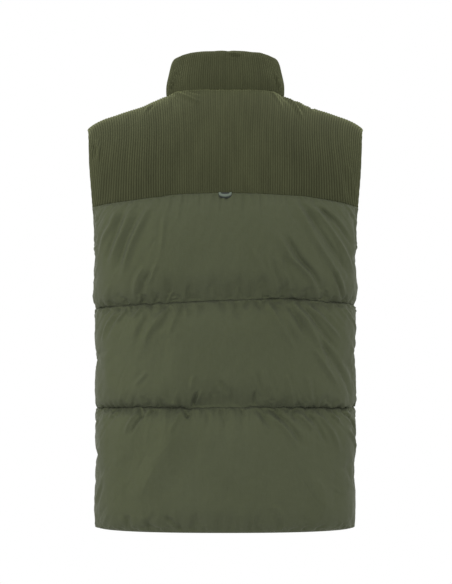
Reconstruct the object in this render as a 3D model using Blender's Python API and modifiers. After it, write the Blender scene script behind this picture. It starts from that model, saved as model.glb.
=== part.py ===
"""Padded sleeveless jacket with a corduroy yoke and stand collar, zipped at the front.

Metres, +Z up. The garment keeps the hollow form that it has when it is worn: its front faces -Y,
its back +Y, and +X is the wearer's left. The origin is the middle of the neck base, level with the
points where the shoulder ridges meet the collar. Every sewn piece is a padded wall: an outer and an
inner skin that meet in a thin edge, laid on one form that all the pieces share.
"""

import functools
import math

import bmesh
import bpy
import numpy as np
from mathutils import Matrix, Vector

# ---- Driving sizes, a men's medium ----------------------------------------------------------

YOKE_Z = {"back": -0.171, "front": -0.180}  # lower edges of the yokes
UNDERARM_Z = -0.288  # lowest point of the armholes
SEAM_1_Z = -0.336  # upper quilting seam
SEAM_2_Z = -0.500  # lower quilting seam
HEM_Z = -0.686

RIDGE_Y = -0.008  # the shoulder ridges, and the shoulder seams on them
RIDGE_NECK_X = 0.0935  # where a ridge meets the collar
RIDGE_SLOPE = 0.295  # fall of a ridge for each metre outwards
RIDGE_SINK = (0.008, 0.024)  # further fall beside the collar, and the width over which it sinks in
TIP_FALL = 0.004  # further fall at the rounded shoulder tip
TIP_FALL_POWER = 20
SHOULDER_FLARE = 0.070  # how much wider the shoulders are than the body at the yoke's edge
ARMHOLE_X = 0.2085  # the armhole's edge, at the yoke's edge
ARMHOLE_CURVE = (2.2, 1.8)  # roundness of the armhole's lower end
NECK_Y = {"back": 0.080, "front": -0.098}  # centre points of the neck seam
NECK_SQUARENESS = 2.15
NECK_RISE = {"back": 0.028, "front": -0.034}  # the form's rise at the nape and dip at the throat
NECK_SEAM_TILT = 0.6  # rise of the neck seam's thickness for each metre outwards

COLLAR_HEIGHT = 0.065
COLLAR_TAPER = 0.15  # the collar's top edge is this share narrower than its base
SEAM_GAP = 0.00015  # how far short of a seam line the pieces stop
SEAM_HALF = 0.0016  # half the thickness of a sewn edge

# Level sections of the body at the sewn surface, which the skins swell out from and in from.
SECTION_COLUMNS = ("height", "half_width", "back", "front", "squareness")
SECTIONS = (
    (-0.686, 0.2010, 0.134, 0.143, 2.40),
    (-0.600, 0.2000, 0.132, 0.142, 2.40),
    (-0.500, 0.2020, 0.129, 0.140, 2.40),
    (-0.415, 0.2010, 0.129, 0.140, 2.40),
    (-0.336, 0.2040, 0.133, 0.141, 2.45),
    (-0.250, 0.2080, 0.137, 0.140, 2.50),
    (-0.171, 0.2185, 0.136, 0.134, 2.50),
)

# How far each kind of piece swells out and in, the width beside its lower and upper edges over
# which it does so, and the profile there: 0.5 is a plump round edge, 1 a soft ramp. Pieces whose
# seams slant across their thickness stop further short of them, by the share in the last column.
PADDING_COLUMNS = ("out", "in", "bottom", "bottom_profile", "top", "top_profile", "gap_share")
PADDING = {
    "yoke": (0.007, 0.004, 0.070, 1.0, 0.055, 1.0, 1.6),
    "upper": (0.014, 0.006, 0.034, 0.5, 0.110, 1.0, 1.0),
    "middle": (0.014, 0.006, 0.034, 0.5, 0.052, 0.5, 1.0),
    "lower": (0.015, 0.006, 0.034, 0.5, 0.052, 0.5, 1.0),
    "collar": (0.0055, 0.004, 0.030, 1.0, 0.016, 0.5, 2.0),
}
# The same width and profile beside the upright edges.
OPEN_EDGE_PADDING = (0.022, 0.5)  # armholes and front edges
SIDE_SEAM_PADDING = (0.090, 1.0)

# The largest folds: soft troughs that run slantwise down a panel. Depth is a share of the padding.
FOLD_COLUMNS = ("top_x", "top_z", "bottom_x", "bottom_z", "depth", "half_width")
FOLDS = {
    "back_upper_panel": (
        (0.098, -0.190, 0.140, -0.315, 0.34, 0.016),
        (-0.092, -0.200, -0.182, -0.312, 0.38, 0.017),
        (-0.058, -0.245, -0.118, -0.322, 0.30, 0.014),
    ),
    "back_middle_panel": (
        (0.142, -0.350, 0.178, -0.430, 0.34, 0.016),
        (0.090, -0.350, 0.132, -0.450, 0.28, 0.015),
        (-0.066, -0.342, -0.106, -0.420, 0.34, 0.016),
        (-0.104, -0.345, -0.158, -0.440, 0.36, 0.016),
    ),
    "back_lower_panel": (
        (-0.070, -0.515, -0.108, -0.570, 0.30, 0.016),
        (-0.112, -0.512, -0.180, -0.600, 0.34, 0.016),
        (0.172, -0.512, 0.188, -0.560, 0.26, 0.014),
    ),
    "front_upper_left": ((0.150, -0.215, 0.082, -0.318, 0.34, 0.017),),
    "front_upper_right": ((-0.140, -0.205, -0.070, -0.312, 0.32, 0.016),),
    "front_middle_left": ((0.060, -0.352, 0.110, -0.440, 0.32, 0.016),),
    "front_middle_right": ((-0.075, -0.350, -0.135, -0.452, 0.34, 0.017),),
    "front_lower_left": ((0.105, -0.518, 0.070, -0.600, 0.30, 0.016),),
    "front_lower_right": ((-0.090, -0.516, -0.150, -0.596, 0.30, 0.016),),
}

# The zip: its tapes fill the gap between the front edges, each with half of the chain on its edge.
ZIP_HALF = 0.008  # half the gap between the front edges
CHAIN_HALF_WIDTH = 0.0028
CHAIN_HALF_DEPTH = 0.0013
TAPE_HALF_DEPTH = 0.0006
ZIP_TOP = 0.90  # the chain ends at this share of the collar's height
SLIDER_SIZE = (0.0090, 0.0068, 0.0130)  # across, out of the cloth, along the zip
SLIDER_NOSE = 0.0040  # the part of the slider above the chain's end
CHAIN_PLAY = 0.00035  # between the slider and the chain that runs through it
TAPE_PLAY = 0.0006
BAIL_SIZE = (0.0020, 0.0042, 0.0090)
BAIL_WALL = 0.0012
PULL_LENGTH = 0.030
PULL_HALF_WIDTH = 0.0034
PULL_NECK_HALF_WIDTH = 0.0026
PULL_THICKNESS = 0.0014
PULL_BAR = 0.0014  # the bar that lies under the bail
PULL_EYE = (0.0032, 0.0062)  # width and length of the hole beside the bar
BOX_SIZE = (0.0125, 0.0046, 0.0105)  # the retainer at the zip's lower end

# The rubber tab that hangs from the middle of the back yoke's seam.
TAB_HALF_WIDTH = 0.0102
TAB_DROP = 0.0088
TAB_THICKNESS = 0.0016

NYLON = ("nylon", (0.079, 0.089, 0.053, 1.0), 0.55, 0.0)
CORDUROY = ("corduroy", (0.060, 0.067, 0.036, 1.0), 0.9, 0.0)
TAPE_CLOTH = ("zip_tape", (0.045, 0.050, 0.032, 1.0), 0.8, 0.0)
METAL = ("dark_metal", (0.10, 0.10, 0.095, 1.0), 0.35, 1.0)
RUBBER = ("rubber", (0.20, 0.23, 0.20, 1.0), 0.6, 0.0)

# Columns and rows of the pieces' grids, as shares of their width and height.
SHOULDER_COLUMNS = (0.15, 0.36, 0.58, 0.78, 0.92, 1.0)
NECK_COLUMNS = (0.0, 0.20, 0.42, 0.63, 0.82, 0.94, 1.0)
FRONT_NECK_COLUMNS = (0.0, 0.06, 0.18, 0.38, 0.60, 0.80, 0.93, 1.0)
BAFFLE_ROWS = (0.0, 0.035, 0.12, 0.27, 0.50, 0.74, 0.90, 1.0)
BELOW_ARMHOLE_ROWS = (0.0, 0.12, 0.36, 0.68)
ARMHOLE_ROWS = (0.0, 0.03, 0.10, 0.22, 0.40, 0.62, 0.84, 1.0)
YOKE_ROWS = (0.0, 0.12, 0.28, 0.46, 0.64, 0.80, 0.92, 1.0)
COLLAR_ROWS = (0.0, 0.12, 0.36, 0.64, 0.86, 0.96, 1.0)
STEP = 1e-3  # for slopes of the form, in shares and in metres
SEARCH_STEPS = 40


# ---- The form -------------------------------------------------------------------------------


def section(height):
    """Half width, back depth, front depth and squareness of the body at a height."""
    rows = np.array(SECTIONS)
    slopes = np.gradient(rows, rows[:, 0], axis=0)
    i = int(np.clip(np.searchsorted(rows[:, 0], height) - 1, 0, len(rows) - 2))
    step = rows[i + 1, 0] - rows[i, 0]
    t = (height - rows[i, 0]) / step
    value = (2 * t**3 - 3 * t**2 + 1) * rows[i] + (3 * t**2 - 2 * t**3) * rows[i + 1]
    value += (t**3 - 2 * t**2 + t) * step * slopes[i] + (t**3 - t**2) * step * slopes[i + 1]
    return dict(zip(SECTION_COLUMNS, value, strict=True))


@functools.lru_cache(maxsize=None)
def quarter_ring(height, face):
    """A quarter of a level section, centre to side: shares of its length, and its x and y."""
    size = section(height)
    angle = np.linspace(0, math.pi / 2, 400)
    x = size["half_width"] * np.sin(angle) ** (2 / size["squareness"])
    y = size[face] * np.abs(np.cos(angle)) ** (2 / size["squareness"])
    length = np.concatenate([[0], np.cumsum(np.hypot(np.diff(x), np.diff(y)))])
    return length / length[-1], x, y if face == "back" else -y


def share_at_x(x, height, face):
    """The share of the quarter's length at which it is x from the centre."""
    shares, xs, _ = quarter_ring(height, face)
    return float(np.interp(x, xs, shares))


def body_point(share, height, face):
    """The point of the body at a height, share of the way from its centre line to its side."""
    shares, xs, ys = quarter_ring(height, face)
    x = math.copysign(np.interp(abs(share), shares, xs), share)
    return np.array([x, np.interp(abs(share), shares, ys), height])


def ridge_height(x, face):
    """Top of the form: the shoulder ridge, and the line that carries it on across the neck."""
    tip_fall = TIP_FALL * abs(x / (ARMHOLE_X * (1 + SHOULDER_FLARE))) ** TIP_FALL_POWER
    if abs(x) > RIDGE_NECK_X:
        beside = abs(x) - RIDGE_NECK_X
        sink, sink_width = RIDGE_SINK
        return -RIDGE_SLOPE * beside - sink * (1 - math.exp(-((beside / sink_width) ** 2))) - tip_fall
    inside = 1 - (x / RIDGE_NECK_X) ** 2
    return RIDGE_SLOPE * RIDGE_NECK_X / 2 * inside + NECK_RISE[face] * inside**2 - tip_fall


def arch_point(base_x, turn, face):
    """The point above the yoke's edge at base_x, where turn runs from 0 there to 1 on the ridge."""
    foot = body_point(share_at_x(abs(base_x), YOKE_Z[face], face), YOKE_Z[face], face)
    rise, reach = math.sin(turn * math.pi / 2), math.cos(turn * math.pi / 2)
    x = base_x * (1 + SHOULDER_FLARE * rise * (base_x / ARMHOLE_X) ** 2)
    y = RIDGE_Y + (foot[1] - RIDGE_Y) * reach
    return np.array([x, y, foot[2] + (ridge_height(x, face) - foot[2]) * rise])


def neck_y(x, face):
    """Plan of the neck seam."""
    inside = max(0.0, 1 - abs(x / RIDGE_NECK_X) ** NECK_SQUARENESS)
    return RIDGE_Y + (NECK_Y[face] - RIDGE_Y) * inside ** (1 / NECK_SQUARENESS)


def bisect(low, high, is_low):
    """The value between low and high at which is_low stops being true."""
    for _ in range(SEARCH_STEPS):
        middle = (low + high) / 2
        low, high = (middle, high) if is_low(middle) else (low, middle)
    return high


@functools.lru_cache(maxsize=None)
def neck_corner_x():
    """The base_x of the column that ends where the ridge meets the neck seam."""
    return bisect(0.0, ARMHOLE_X, lambda x: arch_point(x, 1, "back")[0] < RIDGE_NECK_X)


def is_on_neck(base_x):
    """Whether the column at base_x ends on the neck seam."""
    return abs(base_x) < neck_corner_x() + STEP


def last_turn(base_x, face):
    """Where the column at base_x ends: on the neck seam, or on the shoulder seam at the ridge."""
    if abs(base_x) >= neck_corner_x():
        return 1.0

    def is_outside(turn):
        point = arch_point(base_x, turn, face)
        return abs(point[1] - RIDGE_Y) > abs(neck_y(point[0], face) - RIDGE_Y)

    return bisect(0.0, 1.0, is_outside)


def armhole_share(height, face):
    """The share at which a body panel ends: on the armhole's edge, or at the side seam."""
    fall = (YOKE_Z[face] - height) / (YOKE_Z[face] - UNDERARM_Z)
    if fall >= 1:
        return 1.0
    power, root = ARMHOLE_CURVE
    open_share = 1 - share_at_x(ARMHOLE_X, YOKE_Z[face], face)
    return 1 - open_share * (1 - max(fall, 0.0) ** power) ** (1 / root)


def outward(direction, point):
    """The direction at unit length, turned away from the middle of the chest."""
    away = point - np.array([0, 0, min(point[2], YOKE_Z["front"])])
    return direction / np.linalg.norm(direction) * (1 if direction @ away > 0 else -1)


def body_normal(share, height, face):
    """The form's outward direction below the yoke's edge."""
    across = body_point(min(share + STEP, 1), height, face) - body_point(max(share - STEP, -1), height, face)
    low, high = max(height - STEP, HEM_Z), min(height + STEP, YOKE_Z[face])
    along = body_point(share, high, face) - body_point(share, low, face)
    return outward(np.cross(across, along), body_point(share, height, face))


def arch_normal(base_x, turn, face):
    """The form's outward direction above the yoke's edge."""
    right, left = min(base_x + STEP, ARMHOLE_X), max(base_x - STEP, -ARMHOLE_X)
    across = arch_point(right, turn, face) - arch_point(left, turn, face)
    along = arch_point(base_x, min(turn + STEP, 1), face) - arch_point(base_x, max(turn - STEP, 0), face)
    return outward(np.cross(across, along), arch_point(base_x, turn, face))


def neck_seam_direction(point):
    """The way that both sides of the neck seam are thick: out and up, between yoke and collar."""
    direction = np.array([point[0], point[1] - RIDGE_Y, 0.0])
    direction = direction / np.linalg.norm(direction) + np.array([0, 0, NECK_SEAM_TILT])
    return direction / np.linalg.norm(direction)


def collar_point(base, rise):
    """The point of the collar above a point of the neck seam."""
    inwards = 1 - COLLAR_TAPER * rise
    y = RIDGE_Y + (base[1] - RIDGE_Y) * inwards
    return np.array([base[0] * inwards, y, base[2] + COLLAR_HEIGHT * rise])


def collar_normal(base, rise):
    """The collar's outward direction, which starts as that of the neck seam."""
    radius = math.hypot(base[0], base[1] - RIDGE_Y)
    out = np.array([base[0] / radius, (base[1] - RIDGE_Y) / radius, COLLAR_TAPER * radius / COLLAR_HEIGHT])
    seam_part = max(0.0, 1 - rise / COLLAR_ROWS[2])
    out = seam_part * neck_seam_direction(base) + (1 - seam_part) * out / np.linalg.norm(out)
    return out / np.linalg.norm(out)


# ---- Grids of points, from one seam line to the next -----------------------------------------


@functools.lru_cache(maxsize=None)
def columns(face, side=0):
    """The base_x of each column: the whole back for side 0, one front for side -1 or 1."""
    corner = neck_corner_x()
    shoulder = [corner + (ARMHOLE_X - corner) * share for share in SHOULDER_COLUMNS]
    if side:
        neck = [ZIP_HALF + (corner - ZIP_HALF) * share for share in FRONT_NECK_COLUMNS]
        return tuple(side * x for x in (neck + shoulder)[::side])
    half = [corner * share for share in NECK_COLUMNS] + shoulder
    return tuple([-x for x in half[:0:-1]] + half)


def yoke_grid(face, side=0):
    """Points of a yoke and the directions that it is thick in, row by row from its lower edge."""
    points, out = [], []
    ends = [last_turn(x, face) for x in columns(face, side)]
    for row in YOKE_ROWS:
        places = [(x, row * end, face) for x, end in zip(columns(face, side), ends, strict=True)]
        points.append([arch_point(*place) for place in places])
        out.append([arch_normal(*place) for place in places])
    for i, x in enumerate(columns(face, side)):
        if is_on_neck(x):
            out[-1][i] = neck_seam_direction(points[-1][i])
    return np.array(points), np.array(out)


def body_grid(face, heights, side=0):
    """Points and directions of a body panel, row by row from its lowest height."""
    top = YOKE_Z[face]
    start = share_at_x(ZIP_HALF, top, face) if side else 0.0
    end = share_at_x(ARMHOLE_X, top, face)
    across = [(share_at_x(abs(x), top, face) - start) / (end - start) for x in columns(face, side)]
    points, out = [], []
    for height in heights:
        first = share_at_x(ZIP_HALF, height, face) if side else 0.0
        width = armhole_share(height, face) - first
        shares = [
            math.copysign(first + width * share, x)
            for share, x in zip(across, columns(face, side), strict=True)
        ]
        points.append([body_point(share, height, face) for share in shares])
        out.append([body_normal(share, height, face) for share in shares])
    return np.array(points), np.array(out)


def baffle_heights(low, high):
    """Rows of a panel between two level seams."""
    return [low + (high - low) * row for row in BAFFLE_ROWS]


def upper_heights(face):
    """Rows of an upper panel: first below the armhole, then along its curve."""
    below = [SEAM_1_Z + (UNDERARM_Z - SEAM_1_Z) * row for row in BELOW_ARMHOLE_ROWS]
    return below + [UNDERARM_Z + (YOKE_Z[face] - UNDERARM_Z) * row for row in ARMHOLE_ROWS]


def collar_grid():
    """Points and directions of the collar, from the right front edge round the back to the left."""
    base = []
    for face, side, order in (("front", -1, -1), ("back", 0, 1), ("front", 1, -1)):
        on_neck = [x for x in columns(face, side) if is_on_neck(x)]
        base += [arch_point(x, last_turn(x, face), face) for x in on_neck][::order]
    base = [p for i, p in enumerate(base) if i == 0 or np.linalg.norm(p - base[i - 1]) > STEP]
    points = [[collar_point(p, row) for p in base] for row in COLLAR_ROWS]
    out = [[collar_normal(p, row) for p in base] for row in COLLAR_ROWS]
    return np.array(points), np.array(out)


# ---- Padded walls ---------------------------------------------------------------------------


def distance_to_line(points, line):
    """How far each grid point is from the nearest place on a line of points."""
    start, run = line[:-1], np.diff(line, axis=0)
    from_start = points[:, :, None] - start
    along = np.clip((from_start * run).sum(axis=3) / (run * run).sum(axis=1), 0, 1)
    return np.linalg.norm(from_start - along[..., None] * run, axis=3).min(axis=2)


def fold_depth(points, folds):
    """The share of the padding that the folds of a panel take away at each point."""
    depth = np.zeros(points.shape[:2])
    place = points[:, :, [0, 2]]
    for row in folds:
        fold = dict(zip(FOLD_COLUMNS, row, strict=True))
        top = np.array([fold["top_x"], fold["top_z"]])
        run = np.array([fold["bottom_x"], fold["bottom_z"]]) - top
        along = np.clip((place - top) @ run / (run @ run), 0, 1)
        aside = np.linalg.norm(place - top - along[..., None] * run, axis=2)
        depth += fold["depth"] * np.exp(-((aside / fold["half_width"]) ** 2))
    return depth


def side_padding(points, edge):
    """Width and profile of the padding beside an upright edge, by the height of each point."""
    open_part = np.clip((points[..., 2] - UNDERARM_Z) / (UNDERARM_Z - SEAM_1_Z), 0, 1)
    if abs(edge[0, 0]) < 2 * ZIP_HALF:
        open_part[:] = 1
    pairs = zip(OPEN_EDGE_PADDING, SIDE_SEAM_PADDING, strict=True)
    return [open_part * open_value + (1 - open_part) * seam_value for open_value, seam_value in pairs]


def skin_distances(name, kind, points):
    """How far a panel's outer and inner skins lie from its points, which swell between its edges."""
    size = dict(zip(PADDING_COLUMNS, PADDING[kind], strict=True))
    full = np.ones(points.shape[:2])
    for edge, width, profile in (
        (points[0], size["bottom"], size["bottom_profile"]),
        (points[-1], size["top"], size["top_profile"]),
        (points[:, 0], *side_padding(points, points[:, 0])),
        (points[:, -1], *side_padding(points, points[:, -1])),
    ):
        near = 1 - np.clip(distance_to_line(points, edge) / width, 0, 1)
        full *= (1 - near**2) ** profile
    full *= 1 - fold_depth(points, FOLDS.get(name, ()))
    return SEAM_HALF + size["out"] * full, SEAM_HALF + size["in"] * full


def padded_piece(name, kind, grid, material):
    """A padded wall that stops just short of its seam lines."""
    points, out = grid
    gap_share = dict(zip(PADDING_COLUMNS, PADDING[kind], strict=True))["gap_share"]
    wall(name, trimmed(points, SEAM_GAP * gap_share), out, *skin_distances(name, kind, points), material)


def trimmed(points, gap):
    """The grid with its outermost rows and columns drawn in by a gap."""
    result = points.copy()
    for edge, inner in ((0, 1), (-1, -2)):
        for grid in (result, result.transpose(1, 0, 2)):
            step = grid[inner] - grid[edge]
            grid[edge] += step / np.linalg.norm(step, axis=1, keepdims=True) * gap
    return result


def wall(name, points, out, outer, inner, material):
    """A closed wall whose skins lie the distances outer and inner from the points."""
    rows, width = points.shape[:2]
    skins = (points + out * outer[..., None], points - out * inner[..., None])
    mesh = bpy.data.meshes.new(name)
    work = bmesh.new()
    outer_skin, inner_skin = ([work.verts.new(p) for p in skin.reshape(-1, 3)] for skin in skins)
    for row in range(rows - 1):
        for column in range(width - 1):
            i = row * width + column
            corners = (i, i + 1, i + width + 1, i + width)
            work.faces.new([outer_skin[k] for k in corners])
            work.faces.new([inner_skin[k] for k in reversed(corners)])
    rim = [*range(width), *range(2 * width - 1, rows * width, width)]
    rim += [*range(rows * width - 2, (rows - 1) * width - 1, -1), *range((rows - 2) * width, 0, -width)]
    for a, b in zip(rim, rim[1:] + rim[:1], strict=True):
        work.faces.new([outer_skin[a], inner_skin[a], inner_skin[b], outer_skin[b]])
    bmesh.ops.recalc_face_normals(work, faces=work.faces)
    work.to_mesh(mesh)
    work.free()
    mesh.shade_smooth()
    mesh.set_sharp_from_angle(angle=math.radians(50))
    return place(name, mesh, material)


# ---- Scene objects --------------------------------------------------------------------------


@functools.lru_cache(maxsize=None)
def material_for(finish):
    """A Principled material from its name, colour, roughness and metallic value."""
    name, colour, roughness, metallic = finish
    material = bpy.data.materials.new(name)
    material.use_nodes = True
    material.diffuse_color = colour
    shader = material.node_tree.nodes["Principled BSDF"]
    shader.inputs["Base Color"].default_value = colour
    shader.inputs["Roughness"].default_value = roughness
    shader.inputs["Metallic"].default_value = metallic
    return material


def collection(name):
    """The collection of that name, in the scene."""
    if name not in bpy.data.collections:
        bpy.context.scene.collection.children.link(bpy.data.collections.new(name))
    return bpy.data.collections[name]


def place(name, data, material=None):
    """A new object in the garment's collection, or a hidden cutter where it has no material."""
    piece = bpy.data.objects.new(name, data)
    collection("padded_vest" if material else "cutters").objects.link(piece)
    if material:
        data.materials.append(material_for(material))
    else:
        piece.hide_render = True
        piece.display_type = "WIRE"
    return piece


def block(name, low, high, frame, material=None, bevel=0.0):
    """A box between two corners in a frame, with rounded edges where a bevel is given."""
    mesh = bpy.data.meshes.new(name)
    work = bmesh.new()
    bmesh.ops.create_cube(work, size=1)
    low, high = Vector(low), Vector(high)
    bmesh.ops.scale(work, vec=high - low, verts=work.verts)
    bmesh.ops.translate(work, vec=(high + low) / 2, verts=work.verts)
    work.to_mesh(mesh)
    work.free()
    piece = place(name, mesh, material)
    piece.matrix_world = frame
    if bevel:
        rounding = piece.modifiers.new("rounded_edges", "BEVEL")
        rounding.width = bevel
        rounding.segments = 2
    return piece


def flat_plate(name, loops, thickness, frame, material):
    """A flat plate in a frame's XZ plane, from its outline and the outlines of its holes."""
    curve = bpy.data.curves.new(name, "CURVE")
    curve.dimensions = "2D"
    curve.fill_mode = "BOTH"
    curve.extrude = thickness / 2
    for loop in loops:
        spline = curve.splines.new("POLY")
        spline.points.add(len(loop) - 1)
        for point, (x, z) in zip(spline.points, loop, strict=True):
            point.co = (x, z, 0, 1)
        spline.use_cyclic_u = True
    plate = place(name, curve, material)
    plate.matrix_world = frame @ Matrix.Rotation(math.pi / 2, 4, "X")
    plate.modifiers.new("closed_caps", "WELD").merge_threshold = 1e-5


def combine(piece, operation, other):
    """Cuts another object from a piece, or joins it on."""
    boolean = piece.modifiers.new(other.name, "BOOLEAN")
    boolean.operation = operation
    boolean.object = other
    boolean.solver = "EXACT"


# ---- Pieces ---------------------------------------------------------------------------------


def add_back():
    padded_piece("back_yoke", "yoke", yoke_grid("back"), CORDUROY)
    padded_piece("back_upper_panel", "upper", body_grid("back", upper_heights("back")), NYLON)
    padded_piece("back_middle_panel", "middle", body_grid("back", baffle_heights(SEAM_2_Z, SEAM_1_Z)), NYLON)
    padded_piece("back_lower_panel", "lower", body_grid("back", baffle_heights(HEM_Z, SEAM_2_Z)), NYLON)


def add_front(name, side):
    middle, lower = baffle_heights(SEAM_2_Z, SEAM_1_Z), baffle_heights(HEM_Z, SEAM_2_Z)
    padded_piece(f"front_yoke_{name}", "yoke", yoke_grid("front", side), CORDUROY)
    padded_piece(f"front_upper_{name}", "upper", body_grid("front", upper_heights("front"), side), NYLON)
    padded_piece(f"front_middle_{name}", "middle", body_grid("front", middle, side), NYLON)
    padded_piece(f"front_lower_{name}", "lower", body_grid("front", lower, side), NYLON)


def zip_line(x):
    """Points and directions up the centre front at x, from the retainer to the chain's end."""
    points, out = [], []
    start = HEM_Z + BOX_SIZE[2]
    heights = [start, *baffle_heights(HEM_Z, SEAM_2_Z)[2:], *baffle_heights(SEAM_2_Z, SEAM_1_Z)[1:]]
    for height in heights + upper_heights("front")[1:]:
        share = share_at_x(abs(x), height, "front")
        points.append(body_point(math.copysign(share, x), height, "front"))
        out.append(body_normal(math.copysign(share, x), height, "front"))
    end = last_turn(x, "front")
    for row in YOKE_ROWS[1:-1]:
        points.append(arch_point(x, row * end, "front"))
        out.append(arch_normal(x, row * end, "front"))
    base = arch_point(x, end, "front")
    for row in (*COLLAR_ROWS[:4], ZIP_TOP):
        points.append(collar_point(base, row))
        out.append(collar_normal(base, row))
    return points, out


def add_zip_tape(name, side):
    """One half of the zip: a thin tape with half of the chain as a raised edge."""
    across = (
        (SEAM_GAP, CHAIN_HALF_DEPTH),
        (CHAIN_HALF_WIDTH, CHAIN_HALF_DEPTH),
        (CHAIN_HALF_WIDTH + TAPE_HALF_DEPTH, TAPE_HALF_DEPTH),
        (ZIP_HALF - SEAM_GAP, TAPE_HALF_DEPTH),
    )
    lines = [zip_line(side * x) for x, _ in across]
    points = np.array([line[0] for line in lines]).transpose(1, 0, 2)
    out = np.array([line[1] for line in lines]).transpose(1, 0, 2)
    depth = np.tile([depth for _, depth in across], (len(points), 1))
    wall(f"zip_tape_{name}", points, out, depth, depth, TAPE_CLOTH)


def zip_frame(point, above):
    """A frame on the zip: X across it, Y into the garment and Z up the line to another point."""
    up = Vector(above) - Vector(point)
    up.normalize()
    right = Vector((1, 0, 0))
    inwards = up.cross(right)
    return Matrix.Translation(Vector(point)) @ Matrix((right, inwards, up)).transposed().to_4x4()


def slider_frame():
    """The frame at the chain's upper end."""
    points, _ = zip_line(SEAM_GAP)
    low, high = (np.array([0, *p[1:]]) for p in points[-2:])
    return zip_frame(high, high + (high - low))


def add_slider():
    """The slider: two plates that join above the chain's end, and a bail for the pull."""
    frame = slider_frame()
    width, depth, length = (size / 2 for size in SLIDER_SIZE)
    foot = SLIDER_NOSE - 2 * length
    slider = block("zip_slider", (-width, -depth, foot), (width, depth, SLIDER_NOSE), frame, METAL, 0.001)
    chain = (CHAIN_HALF_WIDTH + CHAIN_PLAY, CHAIN_HALF_DEPTH + CHAIN_PLAY)
    slot = TAPE_HALF_DEPTH + TAPE_PLAY
    bail_width, bail_depth, bail_length = BAIL_SIZE
    middle = (SLIDER_NOSE + foot) / 2
    low, high = middle - bail_length / 2, middle + bail_length / 2
    bail = block(
        "slider_bail",
        (-bail_width / 2, -depth - bail_depth, low),
        (bail_width / 2, -chain[1] - slot, high),
        frame,
    )
    rounding = bail.modifiers.new("rounded_edges", "BEVEL")
    rounding.width = bail_width * 0.3
    eye = block(
        "bail_eye",
        (-width, -depth - bail_depth + BAIL_WALL, low + BAIL_WALL),
        (width, -depth, high - BAIL_WALL),
        frame,
    )
    combine(slider, "UNION", bail)
    combine(slider, "DIFFERENCE", eye)
    channel = block("chain_channel", (-chain[0], -chain[1], 2 * foot), (chain[0], chain[1], TAPE_PLAY), frame)
    tape_slot = block("tape_slot", (-2 * width, -slot, 2 * foot), (2 * width, slot, TAPE_PLAY), frame)
    combine(slider, "DIFFERENCE", channel)
    combine(slider, "DIFFERENCE", tape_slot)


def pull_axis_frame():
    """The frame on the axis that the pull swings about, in the middle of the bail's eye."""
    middle = SLIDER_NOSE - SLIDER_SIZE[2] / 2
    out = SLIDER_SIZE[1] / 2 + (BAIL_SIZE[1] - BAIL_WALL) / 2
    return slider_frame() @ Matrix.Translation((0, -out, middle))


def add_pull():
    """The pull: a flat tab whose upper bar lies in the bail, hanging along the zip."""
    bar = PULL_BAR / 2
    neck_end = bar - PULL_EYE[1] - 2 * PULL_BAR
    outline = [
        (-PULL_NECK_HALF_WIDTH, bar),
        (-PULL_NECK_HALF_WIDTH, neck_end),
        (-PULL_HALF_WIDTH, neck_end - PULL_BAR),
    ]
    centre = bar - PULL_LENGTH + PULL_HALF_WIDTH
    turns = [math.pi + math.pi * i / 10 for i in range(11)]
    outline += [(PULL_HALF_WIDTH * math.cos(a), centre + PULL_HALF_WIDTH * math.sin(a)) for a in turns]
    outline += [(-x, z) for x, z in outline[2::-1]]
    side, foot = PULL_EYE[0] / 2, -bar - PULL_EYE[1]
    eye = [(-side, -bar), (side, -bar), (side, foot), (-side, foot)]
    flat_plate("zip_pull", (outline, eye), PULL_THICKNESS, pull_axis_frame(), METAL)


def add_retainer():
    """The box at the zip's lower end."""
    points, _ = zip_line(SEAM_GAP)
    low = np.array([0, points[0][1], HEM_Z])
    frame = zip_frame(low, np.array([0, points[0][1], HEM_Z + BOX_SIZE[2]]))
    width, depth, height = BOX_SIZE
    corners = (-width / 2, -depth / 2, 0), (width / 2, depth / 2, height - 2 * SEAM_GAP)
    block("zip_box", *corners, frame, METAL, 0.0008)


def add_tab():
    """The half-oval rubber tab under the back yoke's edge, flat on the padding below it."""
    points, out = body_grid("back", upper_heights("back"))
    outer, _ = skin_distances("back_upper_panel", "upper", points)
    middle = points.shape[1] // 2
    below, top = (Vector(p) for p in (points + out * outer[..., None])[-2:, middle])
    frame = zip_frame(top, 2 * top - below) @ Matrix.Rotation(math.pi, 4, "Z")
    frame = frame @ Matrix.Translation((0, -2 * SEAM_GAP - TAB_THICKNESS / 2, -2 * SEAM_GAP))
    turns = [math.pi * i / 16 for i in range(17)]
    outline = [(TAB_HALF_WIDTH * math.cos(a), -TAB_DROP * math.sin(a) ** 0.75) for a in turns]
    flat_plate("seam_tab", (outline,), TAB_THICKNESS, frame, RUBBER)


def main():
    for old in list(bpy.data.objects):
        bpy.data.objects.remove(old)
    add_back()
    for name, side in (("left", 1), ("right", -1)):
        add_front(name, side)
        add_zip_tape(name, side)
    padded_piece("collar", "collar", collar_grid(), CORDUROY)
    add_slider()
    add_pull()
    add_retainer()
    add_tab()


main()
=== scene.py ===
"""Padded vest in quilted nylon with a corduroy yoke and stand collar, seen from behind.

Every cloth piece is built again on the form that the fitted model uses, at the size of its real
detail: wales on the corduroy, blown-up padding, folds and gathers on the nylon. Metres, +Z up; the
back faces +Y. Distances around the body are arc lengths from the middle of the back or front.
"""

import functools
import math

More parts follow.
